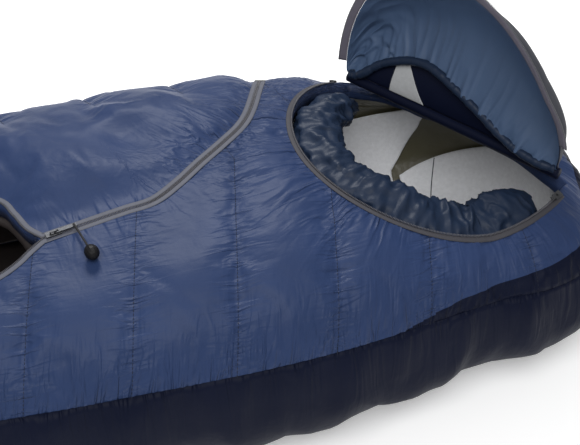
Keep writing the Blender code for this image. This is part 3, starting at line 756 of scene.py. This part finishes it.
def settled(points, faces, pinned, grow, pressure, steps):
    """The cloth after it has grown a little between its pinned lines and been blown out."""
    cloth_piece = mesh_object("settling", points, faces)
    pins = cloth_piece.vertex_groups.new(name="pins")
    pins.add(np.flatnonzero(pinned).tolist(), 1.0, "REPLACE")
    cloth = cloth_piece.modifiers.new("cloth", "CLOTH")
    for setting, value in CLOTH.items():
        setattr(cloth.settings, setting, value)
    cloth.settings.shrink_min = -grow
    cloth.settings.uniform_pressure_force = pressure
    cloth.settings.effector_weights.gravity = 0
    cloth.collision_settings.use_collision = False
    cloth.point_cache.frame_end = steps
    scene = bpy.context.scene
    for step in range(1, steps + 1):
        scene.frame_set(step)
        state = bpy.context.evaluated_depsgraph_get()
    done = cloth_piece.evaluated_get(state)
    flat = np.empty(len(points) * 3)
    done.data.vertices.foreach_get("co", flat)
    scene.frame_set(1)
    bpy.data.objects.remove(cloth_piece)
    moved = flat.reshape(-1, 3) - points
    size = np.linalg.norm(moved, axis=1, keepdims=True)
    return points + moved * np.minimum(1, MOST_MOVE / np.maximum(size, 1e-9))


pinned = (to_stitch < 1e-6) | (to_seam < 1e-6) | (to_tape < 0.0005)
top_rest = top_outer
top_outer = settled(top_rest, top_faces, pinned, TOP_GROWTH, TOP_PRESSURE, SETTLE_STEPS)
top_outer = top_rest + (top_outer - top_rest) * calm[:, None]
inner_folds = 0.004 * rough(top_points, 14, 3)
top_inner = top_points - top_normals * (QUILT_THICK + inner_folds)[:, None]
top = padded_mesh(
    "top_quilt",
    top_outer,
    top_inner,
    top_faces,
    (blue, navy, brown, olive),
    top_band[top_faces].any(axis=1),
    np.where(top_hood[top_faces].any(axis=1), 3, 2),
)
add_field(top, "stitch_place", fields(to_seam * 70, to_stitch * 14, top_u * 5 + far_side))
add_field(top, "stitch_strength", 0.55 * np.exp(-to_stitch / 0.016))
add_field(top, "seam_place", fields(top_u * 60, to_seam * 12, far_side * 3))
add_field(top, "seam_strength", 0.8 * np.exp(-to_seam / 0.030))
add_field(top, "zip_place", fields(zip_run * 52, to_zip * 12, far_side * 3))
add_field(top, "zip_strength", np.exp(-np.maximum(to_zip - TAPE_OUT, 0) / 0.030) * (0.25 + 0.75 * far_side))
add_field(top, "rim_place", fields(np.cos(bearing) * 11, np.sin(bearing) * 11, to_rim * 9))
add_field(top, "rim_strength", np.exp(-to_rim / 0.050) * (0.25 + 0.75 * on_chest))
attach(top, "bag")
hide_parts("shell_top", "fill_top", "lining_top", "shell_hood_band")


# Lower side panels and underside

SIDE_ROWS = 30
SIDE_ARC = 0.27
SIDE_SWELL = 0.010
SHORT_PLEATS = 0.0050
LONG_PLEATS = 0.0045
side_columns = stations(0.0085, 0.018)
side_s, side_level = grid(side_columns, np.linspace(0, SEAM_LEVEL, SIDE_ROWS + 1))
for word, side in SIDES:
    points = skin(side_s, side_level, 0, side).reshape(-1, 3)
    inner = skin(side_s, side_level, QUILT_THICK, side).reshape(-1, 3)
    faces = quads(len(side_columns), SIDE_ROWS + 1, flip=side > 0)
    normals = normals_of(points, faces)
    inner -= normals * (0.005 * np.maximum(rough(inner * np.array([11, 11, 24]), 1.0, 17), 0))[:, None]
    s = side_s.ravel()
    level = side_level.ravel()
    from_top = (SEAM_LEVEL - level) / SEAM_LEVEL * SIDE_ARC
    from_base = level / SEAM_LEVEL * SIDE_ARC
    to_mark = nearest_stitch(s)
    swell = SIDE_SWELL * rises(from_top, 0.030) * rises(from_base, 0.05)
    swell *= 0.35 + 0.65 * rises(to_mark, 0.03)
    pleats = folds(fields(s * 17, from_top * 5, side), 5)
    swell += SHORT_PLEATS * pleats * np.exp(-from_top / 0.060) * rises(from_top, 0.008)
    pleats = folds(fields(s * 7, from_top * 3, side), 8)
    swell += LONG_PLEATS * pleats * rises(from_top, 0.03) * rises(from_base, 0.06)
    outer = points + normals * swell[:, None]
    outer[:, 2] = np.maximum(outer[:, 2], FLOOR_GAP)
    lining_slots = np.where(s < HOOD_FROM, 1, 2)[faces[:, 0]]
    made = padded_mesh("side_panel_" + word, outer, inner, faces, (navy, brown, olive), 0, lining_slots)
    add_field(made, "seam_place", fields(s * 55, from_top * 9, side))
    add_field(made, "seam_strength", 0.45 * np.exp(-from_top / 0.040))
    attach(made, "bag")
    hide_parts("shell_side_" + word, "fill_side_" + word, "lining_side_" + word)

BASE_ROWS = 12
base_columns = stations(0.014, 0.02)
base_s, base_share = grid(base_columns, np.linspace(0, 1, BASE_ROWS + 1))
base_points = []
base_faces = []
for side in (-1, 1):
    edge = skin(base_s, base_s * 0, 0, side)
    middle = np.stack([np.clip(base_s, FOOT_AXIS_X, HEAD_AXIS_X), base_s * 0, base_s * 0], axis=-1)
    base_faces.append(quads(len(base_columns), BASE_ROWS + 1, len(base_points) * base_s.size, flip=side < 0))
    base_points.append((middle + (edge - middle) * base_share[..., None]).reshape(-1, 3))
base_points = np.concatenate(base_points)
base_faces = np.concatenate(base_faces)
base_shared = np.arange(len(base_points))
middle_row = np.arange(len(base_columns)) * (BASE_ROWS + 1)
first_head = np.argmax(base_columns >= HEAD_AXIS_X)
middle_to = np.where(base_columns > HEAD_AXIS_X, middle_row[first_head], middle_row)
middle_to = np.where(base_columns < FOOT_AXIS_X, 0, middle_to)
base_shared[middle_row] = middle_to
base_shared[base_s.size + middle_row] = middle_to
for tip in (0, len(base_columns) - 1):
    at = tip * (BASE_ROWS + 1) + np.arange(1, BASE_ROWS + 1)
    base_shared[base_s.size + at] = at
base_faces = base_shared[base_faces]
both_s = np.tile(base_s.ravel(), 2)
to_mark = nearest_stitch(both_s)
base_outer = base_points + UP * (FLOOR_GAP + 0.006 * np.exp(-to_mark / 0.012))[:, None]
base_inner = base_points + UP * (QUILT_THICK + 0.002 * rough(base_points, 20, 6))[:, None]
lining_slots = np.where(both_s < HOOD_FROM, 1, 2)[base_faces[:, 1]]
base = padded_mesh("underside", base_outer, base_inner, base_faces, (navy, brown, olive), 0, lining_slots)
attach(base, "bag")
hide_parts("shell_base", "fill_base", "lining_base")


# Felt panels of the hood lining

RIGHT_FELT_FROM = 0.797
LEFT_FELT_FROM = 0.60
FELT_TOP = 0.0060
FELT_UNDER = 0.0045
FELT_PLUMP = 0.0035
FELT_EDGE = 0.06


def lining_points(s, level, side, lift):
    """Points on the lining: level 0 to 2 up the wall, and down to -1 in to the middle of the base."""
    wall = skin(s, np.maximum(level, 0), QUILT_THICK + lift, side)
    middle = np.stack([np.clip(s, FOOT_AXIS_X, HEAD_AXIS_X), s * 0, s * 0 + QUILT_THICK + lift], axis=-1)
    return np.where((level < 0)[..., None], middle + (wall - middle) * (1 + level)[..., None], wall)


def right_patch(across, along_share):
    """Felt behind the head: from the middle of the base up to a rising edge."""
    s = RIGHT_FELT_FROM + across * (HEAD_TIP - RIGHT_FELT_FROM)
    return s, -1 + along_share * (1 + np.minimum(1.1, 0.42 + (s - 0.806) * 3.3))


def left_patch(across, along_share):
    """Felt beside the cheek: from the middle of the base to a curved edge under the collar."""
    s = LEFT_FELT_FROM + across * 0.19
    level = -1 + along_share * (2.06 + np.maximum(0, s - 0.70) * 2.2)
    return LEFT_FELT_FROM + across * (0.185 + np.maximum(0, level - 0.45) * 0.09), level


PATCH = 60
FELT_PATCHES = [(shape, word, side) for word, side in SIDES for shape in (right_patch, left_patch)]
patch_a, patch_b = grid(np.linspace(0, 1, PATCH), np.linspace(0, 1, PATCH))
patch_edge = np.minimum(np.minimum(patch_a, 1 - patch_a), np.minimum(patch_b, 1 - patch_b))
for shape, word, side in FELT_PATCHES:
    patch_s, patch_level = shape(patch_a, patch_b)
    lift = FELT_TOP + FELT_PLUMP * rises(patch_edge, FELT_EDGE)
    upper_side = lining_points(patch_s, patch_level, side, lift).reshape(-1, 3)
    under_side = lining_points(patch_s, patch_level, side, FELT_UNDER).reshape(-1, 3)
    name = shape.__name__.replace("patch", "felt_") + word
    made = padded_mesh(name, upper_side, under_side, quads(PATCH, PATCH, flip=side < 0), (felt,))
    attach(made, "bag")
    if shape is right_patch:
        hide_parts("head_panel")


# Tubes and ribbons


def close_ends(made):
    """Fills the open ends of a tube."""
    bm = bmesh.new()
    bm.from_mesh(made.data)
    bmesh.ops.holes_fill(bm, edges=[e for e in bm.edges if e.is_boundary], sides=0)
    bmesh.ops.recalc_face_normals(bm, faces=bm.faces)
    bm.to_mesh(made.data)
    bm.free()


def swept(name, points, section, made_paint, up=UP):
    """A closed section, given as (aside, up) at each point of a line, swept along it."""
    points = np.array(points, float)
    way = unit(np.gradient(points, axis=0))
    aside = unit(np.cross(way, up))
    rise = np.cross(aside, way)
    section = np.broadcast_to(section, (len(points),) + np.shape(section)[-2:])
    ring = points[:, None] + section[..., :1] * aside[:, None] + section[..., 1:] * rise[:, None]
    made = mesh_object(name, ring.reshape(-1, 3), quads(len(points), section.shape[1], wrap=True))
    close_ends(made)
    made.data.polygons.foreach_set("use_smooth", [True] * len(made.data.polygons))
    made.data.materials.append(made_paint)
    return made


def circle(radius, sides, squash=1.0):
    turn = around(sides)
    return np.stack([radius * np.cos(turn), squash * radius * np.sin(turn)], axis=1)


def offset_path(path, distance):
    """The path moved sideways, to its left for a positive distance."""
    way = unit(np.gradient(path, axis=0))
    return path + np.stack([-way[:, 1], way[:, 0]], axis=1) * distance


def on_dome(path, lift):
    return np.concatenate([path, (dome(path[:, 0], path[:, 1]) + lift)[:, None]], axis=1)


def ribbon(name, path, offsets, made_paint):
    """A zip tape beside a path on the quilt, with a height at each offset and a flat back."""
    upper_lines = [on_dome(offset_path(path, o), h) for o, h in zip(offsets, TAPE_TOPS)]
    lower_lines = [on_dome(offset_path(path, o), TAPE_LOW) for o in offsets[::-1]]
    ring = np.stack(upper_lines + lower_lines, axis=1)
    made = mesh_object(name, ring.reshape(-1, 3), quads(len(path), ring.shape[1], wrap=True))
    close_ends(made)
    made.data.materials.append(made_paint)
    return made


def evenly(path, step):
    """Points of a line of points at even spacing."""
    gone = run_lengths(path)
    spots = np.linspace(0, gone[-1], max(2, round(gone[-1] / step) + 1))
    return np.stack([np.interp(spots, gone, path[:, k]) for k in range(path.shape[1])], axis=1)


def bars(name, corners, made_paint):
    """Small bars of eight corners each, as one mesh."""
    faces = (np.arange(len(corners))[:, None, None] * 8 + BAR_FACES).reshape(-1, 4)
    made = mesh_object(name, corners.reshape(-1, 3), faces)
    made.data.materials.append(made_paint)
    return made


def teeth(name, path, side, lift, height):
    """The turns of a zip coil as rounded bars across the path, on one side of it."""
    spots = evenly(path, TOOTH_STEP)
    half = unit(np.gradient(on_dome(spots, lift), axis=0)) * TOOTH_STEP * TOOTH_SHARE
    corners = []
    for offset in (COIL_IN, COIL_OUT):
        line = on_dome(offset_path(spots, side * offset), lift)
        top = line + height * UP
        corners += [line - half, line + half, top + half * TOOTH_TOP, top - half * TOOTH_TOP]
    return bars(name, np.stack(corners, axis=1), coil_grey)


# Seams across the felt

SEAM_R = 0.0008
seam_b = np.linspace(0.05, 0.995, 60)
seam_lift = FELT_TOP + FELT_PLUMP * rises(np.minimum(seam_b, 1 - seam_b), FELT_EDGE)
for shape, word, side in FELT_PATCHES:
    seam_s, seam_level = shape(0.13 + 0.06 * seam_b, seam_b)
    line = lining_points(seam_s, seam_level, side, seam_lift)
    seam = swept(shape.__name__.replace("patch", "felt_seam_") + word, line, circle(SEAM_R, 8), thread)
    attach(seam, "bag")

# Main zip

closed_even = evenly(closed_path, PATH_STEP)
far_even = evenly(gap_far, PATH_STEP)
near_even = evenly(gap_near, PATH_STEP)
tape_offsets = np.array([TAPE_IN, 0.0035, 0.0055, 0.0075, TAPE_OUT])
for word, path, side in (("far", far_even, -1), ("near", near_even, 1)):
    line = np.concatenate([closed_even[:-1], path])
    tape = ribbon("tape_" + word, line, side * tape_offsets, tape_grey)
    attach(tape, "bag")
    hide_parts("zip_tape_" + word)
    coil = teeth("coil_" + word, line, side, COIL_LIFT, COIL_HIGH)
    # The zip lies a little lower where the slider runs
    for vertex in list(tape.data.vertices) + list(coil.data.vertices):
        inside_sag = min(vertex.co.x - SAG_FROM, SAG_TO - vertex.co.x)
        vertex.co.z -= SLIDE_SAG * smooth_step(inside_sag / SAG_RAMP)
    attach(coil, "bag")
    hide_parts("zip_coil_" + word)

# Hood zip

HINGE_CLEAR = math.radians(5.5)
hood_path = opening_point(np.linspace(NEAR_END - HINGE_CLEAR, FAR_END + HINGE_CLEAR, 220), OPENING_R)
tape = ribbon("hood_tape", hood_path, tape_offsets, tape_dark)
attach(tape, "bag")
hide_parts("hood_zip_tape")
coil = teeth("hood_coil", hood_path, 1, HOOD_COIL_LIFT, HOOD_COIL_HIGH)
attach(coil, "bag")
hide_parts("hood_zip_coil")


# Collar

COLLAR_SECTION = 44
collar_angles = np.linspace(NEAR_END - math.radians(6), FAR_END + math.radians(2.5), 440)
collar_run = np.linspace(0, 1, len(collar_angles))
far_part = smooth_step((collar_run - 0.35) / 0.3)
collar_half = COLLAR_HALF * (1 - COLLAR_NARROWS * far_part)
collar_ends = np.sqrt(np.clip(np.minimum(collar_run, 1 - collar_run) / 0.07, 0.10, 1))
collar_drop = COLLAR_DROP - COLLAR_RISE * smooth_step((collar_run - 0.40) / 0.25)
collar_mid = opening_point(collar_angles, OPENING_R - COLLAR_CLEAR - collar_half)
rim_height = on_dome(opening_point(collar_angles, OPENING_R), -COLLAR_DEEP)[:, 2]
collar_line = np.column_stack([collar_mid, rim_height - collar_drop])
arc_length = (collar_angles[0] - collar_angles) * OPENING_R
field_a, field_t = grid(arc_length, around(COLLAR_SECTION))
flat_points = fields(field_a, np.cos(field_t), np.sin(field_t))
pull = folds(flat_points * np.array([34, 0.8, 0.8]), 11).reshape(field_a.shape)
slow = folds(flat_points * np.array([15, 0.9, 0.9]), 14).reshape(field_a.shape)
gather = np.minimum(0.98 + 0.09 * pull + 0.13 * slow, 1.16) * collar_ends[:, None]
flat_aside = collar_half[:, None] * np.cos(field_t) * gather
flat_rise = COLLAR_DEEP * np.sin(field_t) * gather
# On the near half the inner edge stands higher than the edge at the zip, on the far half a little lower
inward = COLLAR_TILT * (1 - 1.3 * far_part)[:, None]
section_aside = flat_aside * np.cos(inward) - flat_rise * np.sin(inward)
section_rise = flat_aside * np.sin(inward) + flat_rise * np.cos(inward)
section = np.stack([section_aside, section_rise], axis=-1)
collar = swept("collar_ring", collar_line, section, gathered)
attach(collar, "bag")
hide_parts("collar", "collar_elastic")


# Flap, shaped over the opening and turned up about the hinge line

hinge_origin = Vector((hinge_mid[0], hinge_mid[1], HINGE_Z))
hinge_axis = Vector((hinge_way[0], hinge_way[1], 0))
turn_up = Matrix.Rotation(-FLAP_OPEN, 4, hinge_axis)
flap_turn = Matrix.Translation(hinge_origin) @ turn_up @ Matrix.Translation(-hinge_origin)


def turned(points):
    """Points of the closed flap, as rows, where they are when it is turned up."""
    matrix = np.array(flap_turn)
    return points.reshape(-1, 3) @ matrix[:3, :3].T + matrix[:3, 3]


def flap_points(s, t, share):
    """Points of the closed flap: s along the hinge, t out from it, share through its thickness."""
    root = hinge_mid + hinge_way * (s * (hinge_half - FLAP_SIDE_CLEAR))[..., None] + flap_way * FLAP_ROOT
    angle = (NEAR_END + FAR_END) / 2 + ((NEAR_END - FAR_END) / 2 - FLAP_END_CLEAR) * s
    rim = opening_point(angle, OPENING_R - FLAP_CUT_BACK)
    spot = root + (rim - root) * t[..., None]
    height = dome(spot[..., 0], spot[..., 1])
    rise = smooth_step(t / 0.55)
    middle = HINGE_Z * (1 - rise) + (height + LIFT + FLAP_EDGE_THICK / 2) * rise
    middle += FLAP_BULGE * np.maximum(np.sin(math.pi * t**1.3), 0) ** 1.2 * np.sqrt(np.maximum(1 - s * s, 0))
    edge = np.clip((1 - t) / 0.35, 0, 1)
    side_edge = np.clip((1 - np.abs(s)) / 0.2, 0, 1)
    thick = FLAP_EDGE_THICK + (FLAP_THICK - FLAP_EDGE_THICK) * smooth_step(np.minimum(edge, side_edge))
    return np.concatenate([spot, (middle + thick * (share - 0.5))[..., None]], axis=-1)


FLAP_GRID = (220, 110)
flap_s, flap_t = grid(np.linspace(-1, 1, FLAP_GRID[0]), np.linspace(0, 1, FLAP_GRID[1]))
flap_faces = quads(*FLAP_GRID)
flap_flat = fields(flap_s * 12, flap_t * 1.3, 0)
root_pleats = rough(flap_flat, 1.0, 21).reshape(FLAP_GRID)
soft_folds = rough(flap_flat * np.array([0.16, 2.0, 1]), 1.0, 24).reshape(FLAP_GRID)
edge_hold = rises(1 - flap_t, 0.06) * rises(1 - np.abs(flap_s), 0.05)
flap_wave = (0.003 * root_pleats * np.exp(-flap_t / 0.22) + 0.004 * soft_folds) * edge_hold
hem_t = hem_at(flap_s)
below = smooth_step((hem_t - flap_t) / 0.03 + 0.5)
past_hem = np.maximum(flap_t - hem_t, 0)
hem_puckers = folds(fields(flap_s * 11, past_hem * 2.2, 0), 26).reshape(FLAP_GRID) * np.exp(-past_hem / 0.17)
corner_field = fields((flap_s + flap_t * 0.8) * 5, (flap_t - flap_s * 0.4) * 2, 0)
corner_folds = folds(corner_field, 27).reshape(FLAP_GRID) * smooth_step((-0.35 - flap_s) / 0.4)
lining_wave = (flap_wave - (0.0042 * hem_puckers + 0.0045 * corner_folds) * edge_hold) * (1 - below)
flap_outer = flap_points(flap_s, flap_t, 1) + UP * flap_wave[..., None]
flap_inner = flap_points(flap_s, flap_t, 0.6 * below) + UP * lining_wave[..., None]
# Past the hem the flap's inner face is the slate lining; from the hem down to the hinge it is the dark navy,
# as painted shade for the shadow under the flap's root
past_slots = (flap_t >= hem_t).ravel()[flap_faces[:, 0]]
flap_layers = (turned(flap_outer), turned(flap_inner))
flap = padded_mesh("hood_flap", *flap_layers, flap_faces, (navy, slate), 0, past_slots)
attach(flap, "flap")
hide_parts("flap_shell", "flap_fill", "flap_lining")

# A felt corner runs up from the hinge to the hem, narrower as it goes
CHEEK_GRID = (40, 50)
CHEEK_TOP = 0.57
CHEEK_UNDER = 0.50
cheek_a, cheek_b = grid(np.linspace(-1, 1, CHEEK_GRID[0]), np.linspace(0, 1, CHEEK_GRID[1]))
cheek_s = -0.42 - 0.06 * cheek_b + cheek_a * (0.17 - 0.13 * cheek_b)
cheek_t = hem_at(cheek_s) * (0.03 + 0.95 * cheek_b)
cheek_layers = [turned(flap_points(cheek_s, cheek_t, share)) for share in (CHEEK_TOP, CHEEK_UNDER)]
cheek = padded_mesh("flap_felt", *cheek_layers, quads(*CHEEK_GRID), (felt_shade,))
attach(cheek, "flap")

# The hem rolls along the edge of the flap's lining
HEM_R = 0.0065
hem_s = np.linspace(-0.985, 0.985, 260)
hem_line = turned(flap_points(hem_s, hem_at(hem_s), 0.10))
hem_swell = 1 + 0.14 * rough(fields(hem_s * 34, 0, 0), 1.0, 61)
hem_section = circle(HEM_R, 14)[None] * hem_swell[:, None, None]
hem = swept("flap_hem", hem_line, hem_section, gathered, up=(0.3, -0.9, 0.2))
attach(hem, "flap")

flap_path = opening_point(np.linspace(NEAR_END - FLAP_TAPE_CLEAR, FAR_END + FLAP_END_CLEAR, 200), OPENING_R)
flap_offsets = -np.array([TAPE_IN, 0.004, 0.007, 0.010, FLAP_CUT_BACK - 0.0003])
tape = ribbon("flap_tape", flap_path, flap_offsets, tape_mauve)
coil = teeth("flap_coil", flap_path, -1, HOOD_COIL_LIFT, HOOD_COIL_HIGH)
for piece, node in ((tape, "flap_zip_tape"), (coil, "flap_zip_coil")):
    piece.data.transform(flap_turn)
    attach(piece, "flap")
    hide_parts(node)


# Piping, draught tube, neck band and loops

piping_half = (hinge_half - PIPING_CLEAR) * np.array(hinge_axis)
piping_line = np.array(hinge_origin) + np.linspace(-1, 1, 60)[:, None] * piping_half
# The piping is a real part, given the dark navy all along as painted shade for the shadow band under the
# flap's root
piping = swept("flap_piping", piping_line, circle(PIPING_R, 16), navy)
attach(piping, "bag")
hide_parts("hinge_piping")

TUBE_R = 0.011
TUBE_ASIDE = 0.012
TUBE_BELOW = 0.016
tube_path = offset_path(np.concatenate([closed_even[:-1], far_even]), -TUBE_ASIDE)[3:-3]
tube_line = on_dome(tube_path, -QUILT_THICK - TUBE_BELOW)
field_a, field_t = grid(np.arange(len(tube_line)) * PATH_STEP, around(16))
flat_points = fields(field_a * 40, np.cos(field_t), np.sin(field_t))
wave = 1 + 0.12 * rough(flat_points, 1.0, 31).reshape(field_a.shape)
section = TUBE_R * wave[..., None] * np.stack([np.cos(field_t), np.sin(field_t)], axis=-1)
draught = swept("draught_roll", tube_line, section, brown)
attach(draught, "bag")
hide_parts("draught_tube")

NECK_X = 0.545
NECK_SIZE = (0.045, 0.34, 0.008)
NECK_LIFT = 0.0062
neck_line = fields(NECK_X, np.linspace(-0.5, 0.5, 80) * NECK_SIZE[1], QUILT_THICK + NECK_LIFT)
neck_swell = 1 + 0.15 * rough(neck_line * np.array([0, 30, 0]), 1.0, 71)
neck_section = circle(NECK_SIZE[0] / 2, 20, NECK_SIZE[2] / NECK_SIZE[0])[None] * neck_swell[:, None, None]
neck = swept("neck_roll", neck_line, neck_section, olive)
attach(neck, "bag")
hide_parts("neck_band")

LOOP_REACH = 0.0146
LOOP_WIDTH = 0.018
LOOP_STRAP = 0.0024
LOOP_TALL = 0.012
LOOP_CORNER = 0.35
STRAP_EDGE = [(-1, -0.9), (-0.6, -1), (0.6, -1), (1, -0.9)]
STRAP_OUTLINE = np.array(STRAP_EDGE + [(-x, -y) for x, y in STRAP_EDGE])


def webbing_loop(name, side, s):
    """A strap bent into a loop, square to the shell at its widest height."""
    here = np.array([s - 0.002, s, s + 0.002])
    spots = skin(here, here * 0 + 1, 0, side)
    run = unit(spots[2] - spots[0])
    out = np.cross(run, UP)
    out *= np.sign(out @ (spots[1] - np.array([np.clip(s, FOOT_AXIS_X, HEAD_AXIS_X), 0, spots[1][2]])))
    turn = 2 * math.pi * np.arange(49) / 48
    wide = np.sign(np.cos(turn)) * np.abs(np.cos(turn)) ** LOOP_CORNER * (LOOP_REACH - LOOP_STRAP) / 2
    long = np.sign(np.sin(turn)) * np.abs(np.sin(turn)) ** LOOP_CORNER * (LOOP_WIDTH - LOOP_STRAP) / 2
    middle = spots[1] + out * (LIFT + LOOP_REACH / 2)
    line = middle + wide[:, None] * out + long[:, None] * run
    section = STRAP_OUTLINE * np.array([LOOP_STRAP / 2, LOOP_TALL / 2])
    made = swept(name + "_webbing", line, section, webbing)
    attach(made, "bag")
    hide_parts(name)


FOOT_LOOP_S = FOOT_AXIS_X - FOOT_ARC * math.radians(72)
HOOD_LOOP_S = HEAD_AXIS_X + HEAD_ARC * math.radians(36)
webbing_loop("loop_foot_near", -1, FOOT_LOOP_S)
webbing_loop("loop_foot_far", 1, FOOT_LOOP_S)
webbing_loop("loop_hood", -1, HOOD_LOOP_S)

# Quilting threads, as short stitches along the lines

STITCH_PITCH = 0.005
STITCH_LONG = 0.0032
STITCH_R = 0.0004


def stitching(name, lines):
    """Short four-sided stitches along these lines, as one piece."""
    stitch_corners = []
    for line in lines:
        spots = evenly(line, STITCH_PITCH)
        way = unit(np.gradient(spots, axis=0))
        aside = unit(np.cross(way, UP))
        rise = np.cross(aside, way)
        middle = spots + rise * STITCH_R * 0.4
        ends = (middle - way * STITCH_LONG / 2, middle + way * STITCH_LONG / 2)
        corners = [end + STITCH_R * out for end in ends for out in (aside, rise, -aside, -rise)]
        stitch_corners.append(np.stack(corners, axis=1))
    made = bars(name, np.concatenate(stitch_corners), thread)
    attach(made, "bag")


quilt_lines = []
for mark in stitches:
    for side in (-1, 1):
        row = np.flatnonzero((np.abs(top_u - mark) < 1e-6) & (side * top_points[:, 1] > -1e-6))
        row = row[slack_side[row] < 0.3]
        row = row[np.argsort(top_share[row])]
        gaps = np.flatnonzero(np.linalg.norm(np.diff(top_outer[row], axis=0), axis=1) > 0.03)
        quilt_lines += [line for line in np.split(top_outer[row], gaps + 1) if len(line) > 4]
stitching("quilting_thread", quilt_lines)

# Pull cord, and the hardware that stays as it is

CORD_R = 0.0014
BALL_REACH = 0.0117
CORD_POINTS = 90
cord_end = BALL_AT - unit(BALL_AT - CORD_START) * BALL_REACH
cord_line = CORD_START + (cord_end - CORD_START) * np.linspace(0, 1, CORD_POINTS)[:, None]
strand, turn = grid(np.arange(CORD_POINTS) * 0.55, around(16))
braid = 1 + 0.06 * np.cos(3 * turn + strand) + 0.06 * np.cos(3 * turn - strand)
cord_section = CORD_R * braid[..., None] * np.stack([np.cos(turn), np.sin(turn)], axis=-1)
cord = swept("pull_cord", cord_line, cord_section, webbing)
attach(cord, "zip_cord")
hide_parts("main_pull_cord")

steel = textured("steel", (0.105, 0.108, 0.115), 0.55, STEEL, Metallic=1.0)
moulded = textured("black_plastic", (0.005, 0.005, 0.006), 0.5, PLASTIC, Specular_IOR_Level=0.2)
for name in ("main_slider", "main_pull_tab", "hood_slider", "hood_pull_tab"):
    nodes[name].data.materials[0] = steel
for name in ("main_pull_ball", "zip_top_stop", "zip_end_stop", "hood_zip_stop"):
    nodes[name].data.materials[0] = moulded

# Camera, light and floor

CAMERA_TURN = math.radians(14)
CAMERA_TILT = math.radians(42)
CAMERA_ANGLE = math.radians(26)
LOOK_AT = Vector((0.55, -0.07, 0.22))
CAMERA_FAR = 1.697
forward = Vector(
    (
        math.sin(CAMERA_TURN) * math.cos(CAMERA_TILT),
        math.cos(CAMERA_TURN) * math.cos(CAMERA_TILT),
        -math.sin(CAMERA_TILT),
    )
)
camera = new_object("camera", bpy.data.cameras.new("camera"))
camera.data.sensor_fit = "HORIZONTAL"
camera.data.angle = CAMERA_ANGLE
camera.location = LOOK_AT - forward * CAMERA_FAR
camera.rotation_euler = forward.to_track_quat("-Z", "Y").to_euler()
bpy.context.scene.camera = camera
bpy.context.scene.view_settings.view_transform = "Standard"


def area_light(name, place, aim, size, power):
    data = bpy.data.lights.new(name, "AREA")
    data.shape = "DISK"
    data.size = size
    data.energy = power
    light = new_object(name, data)
    light.location = place
    light.rotation_euler = (Vector(aim) - Vector(place)).to_track_quat("-Z", "Y").to_euler()


WORLD_LIGHT = 0.38
FLOOR_GLOW = 0.28
FLOOR_HALF = 8
area_light("key", (0.6, 1.7, 2.3), (0.4, 0, 0.2), 1.0, 52)
area_light("fill", (0.2, -1.5, 2.7), (0.6, 0, 0.15), 2.2, 54)

world = bpy.data.worlds.new("studio")
bpy.context.scene.world = world
world.use_nodes = True
tree = world.node_tree
# The camera sees a white backdrop, and the object gets a dimmer light from it
background = tree.nodes["Background"]
background.inputs["Color"].default_value = (1, 1, 1, 1)
path = new_node(tree, "LightPath")
seen = new_node(tree, "Math")
seen.operation = "MULTIPLY_ADD"
seen.inputs[1].default_value = 1 - WORLD_LIGHT
seen.inputs[2].default_value = WORLD_LIGHT
tree.links.new(path.outputs["Is Camera Ray"], seen.inputs[0])
tree.links.new(seen.outputs[0], background.inputs["Strength"])

floor_corners = [(x * FLOOR_HALF, y * FLOOR_HALF, 0) for x, y in ((-1, -1), (1, -1), (1, 1), (-1, 1))]
floor = mesh_object("floor", floor_corners, [(0, 1, 2, 3)])
floor_paint = paint(
    "floor_paper", (0.93, 0.93, 0.93), 0.9, Emission_Color=(1, 1, 1, 1), Emission_Strength=FLOOR_GLOW
)
floor.data.materials.append(floor_paint)
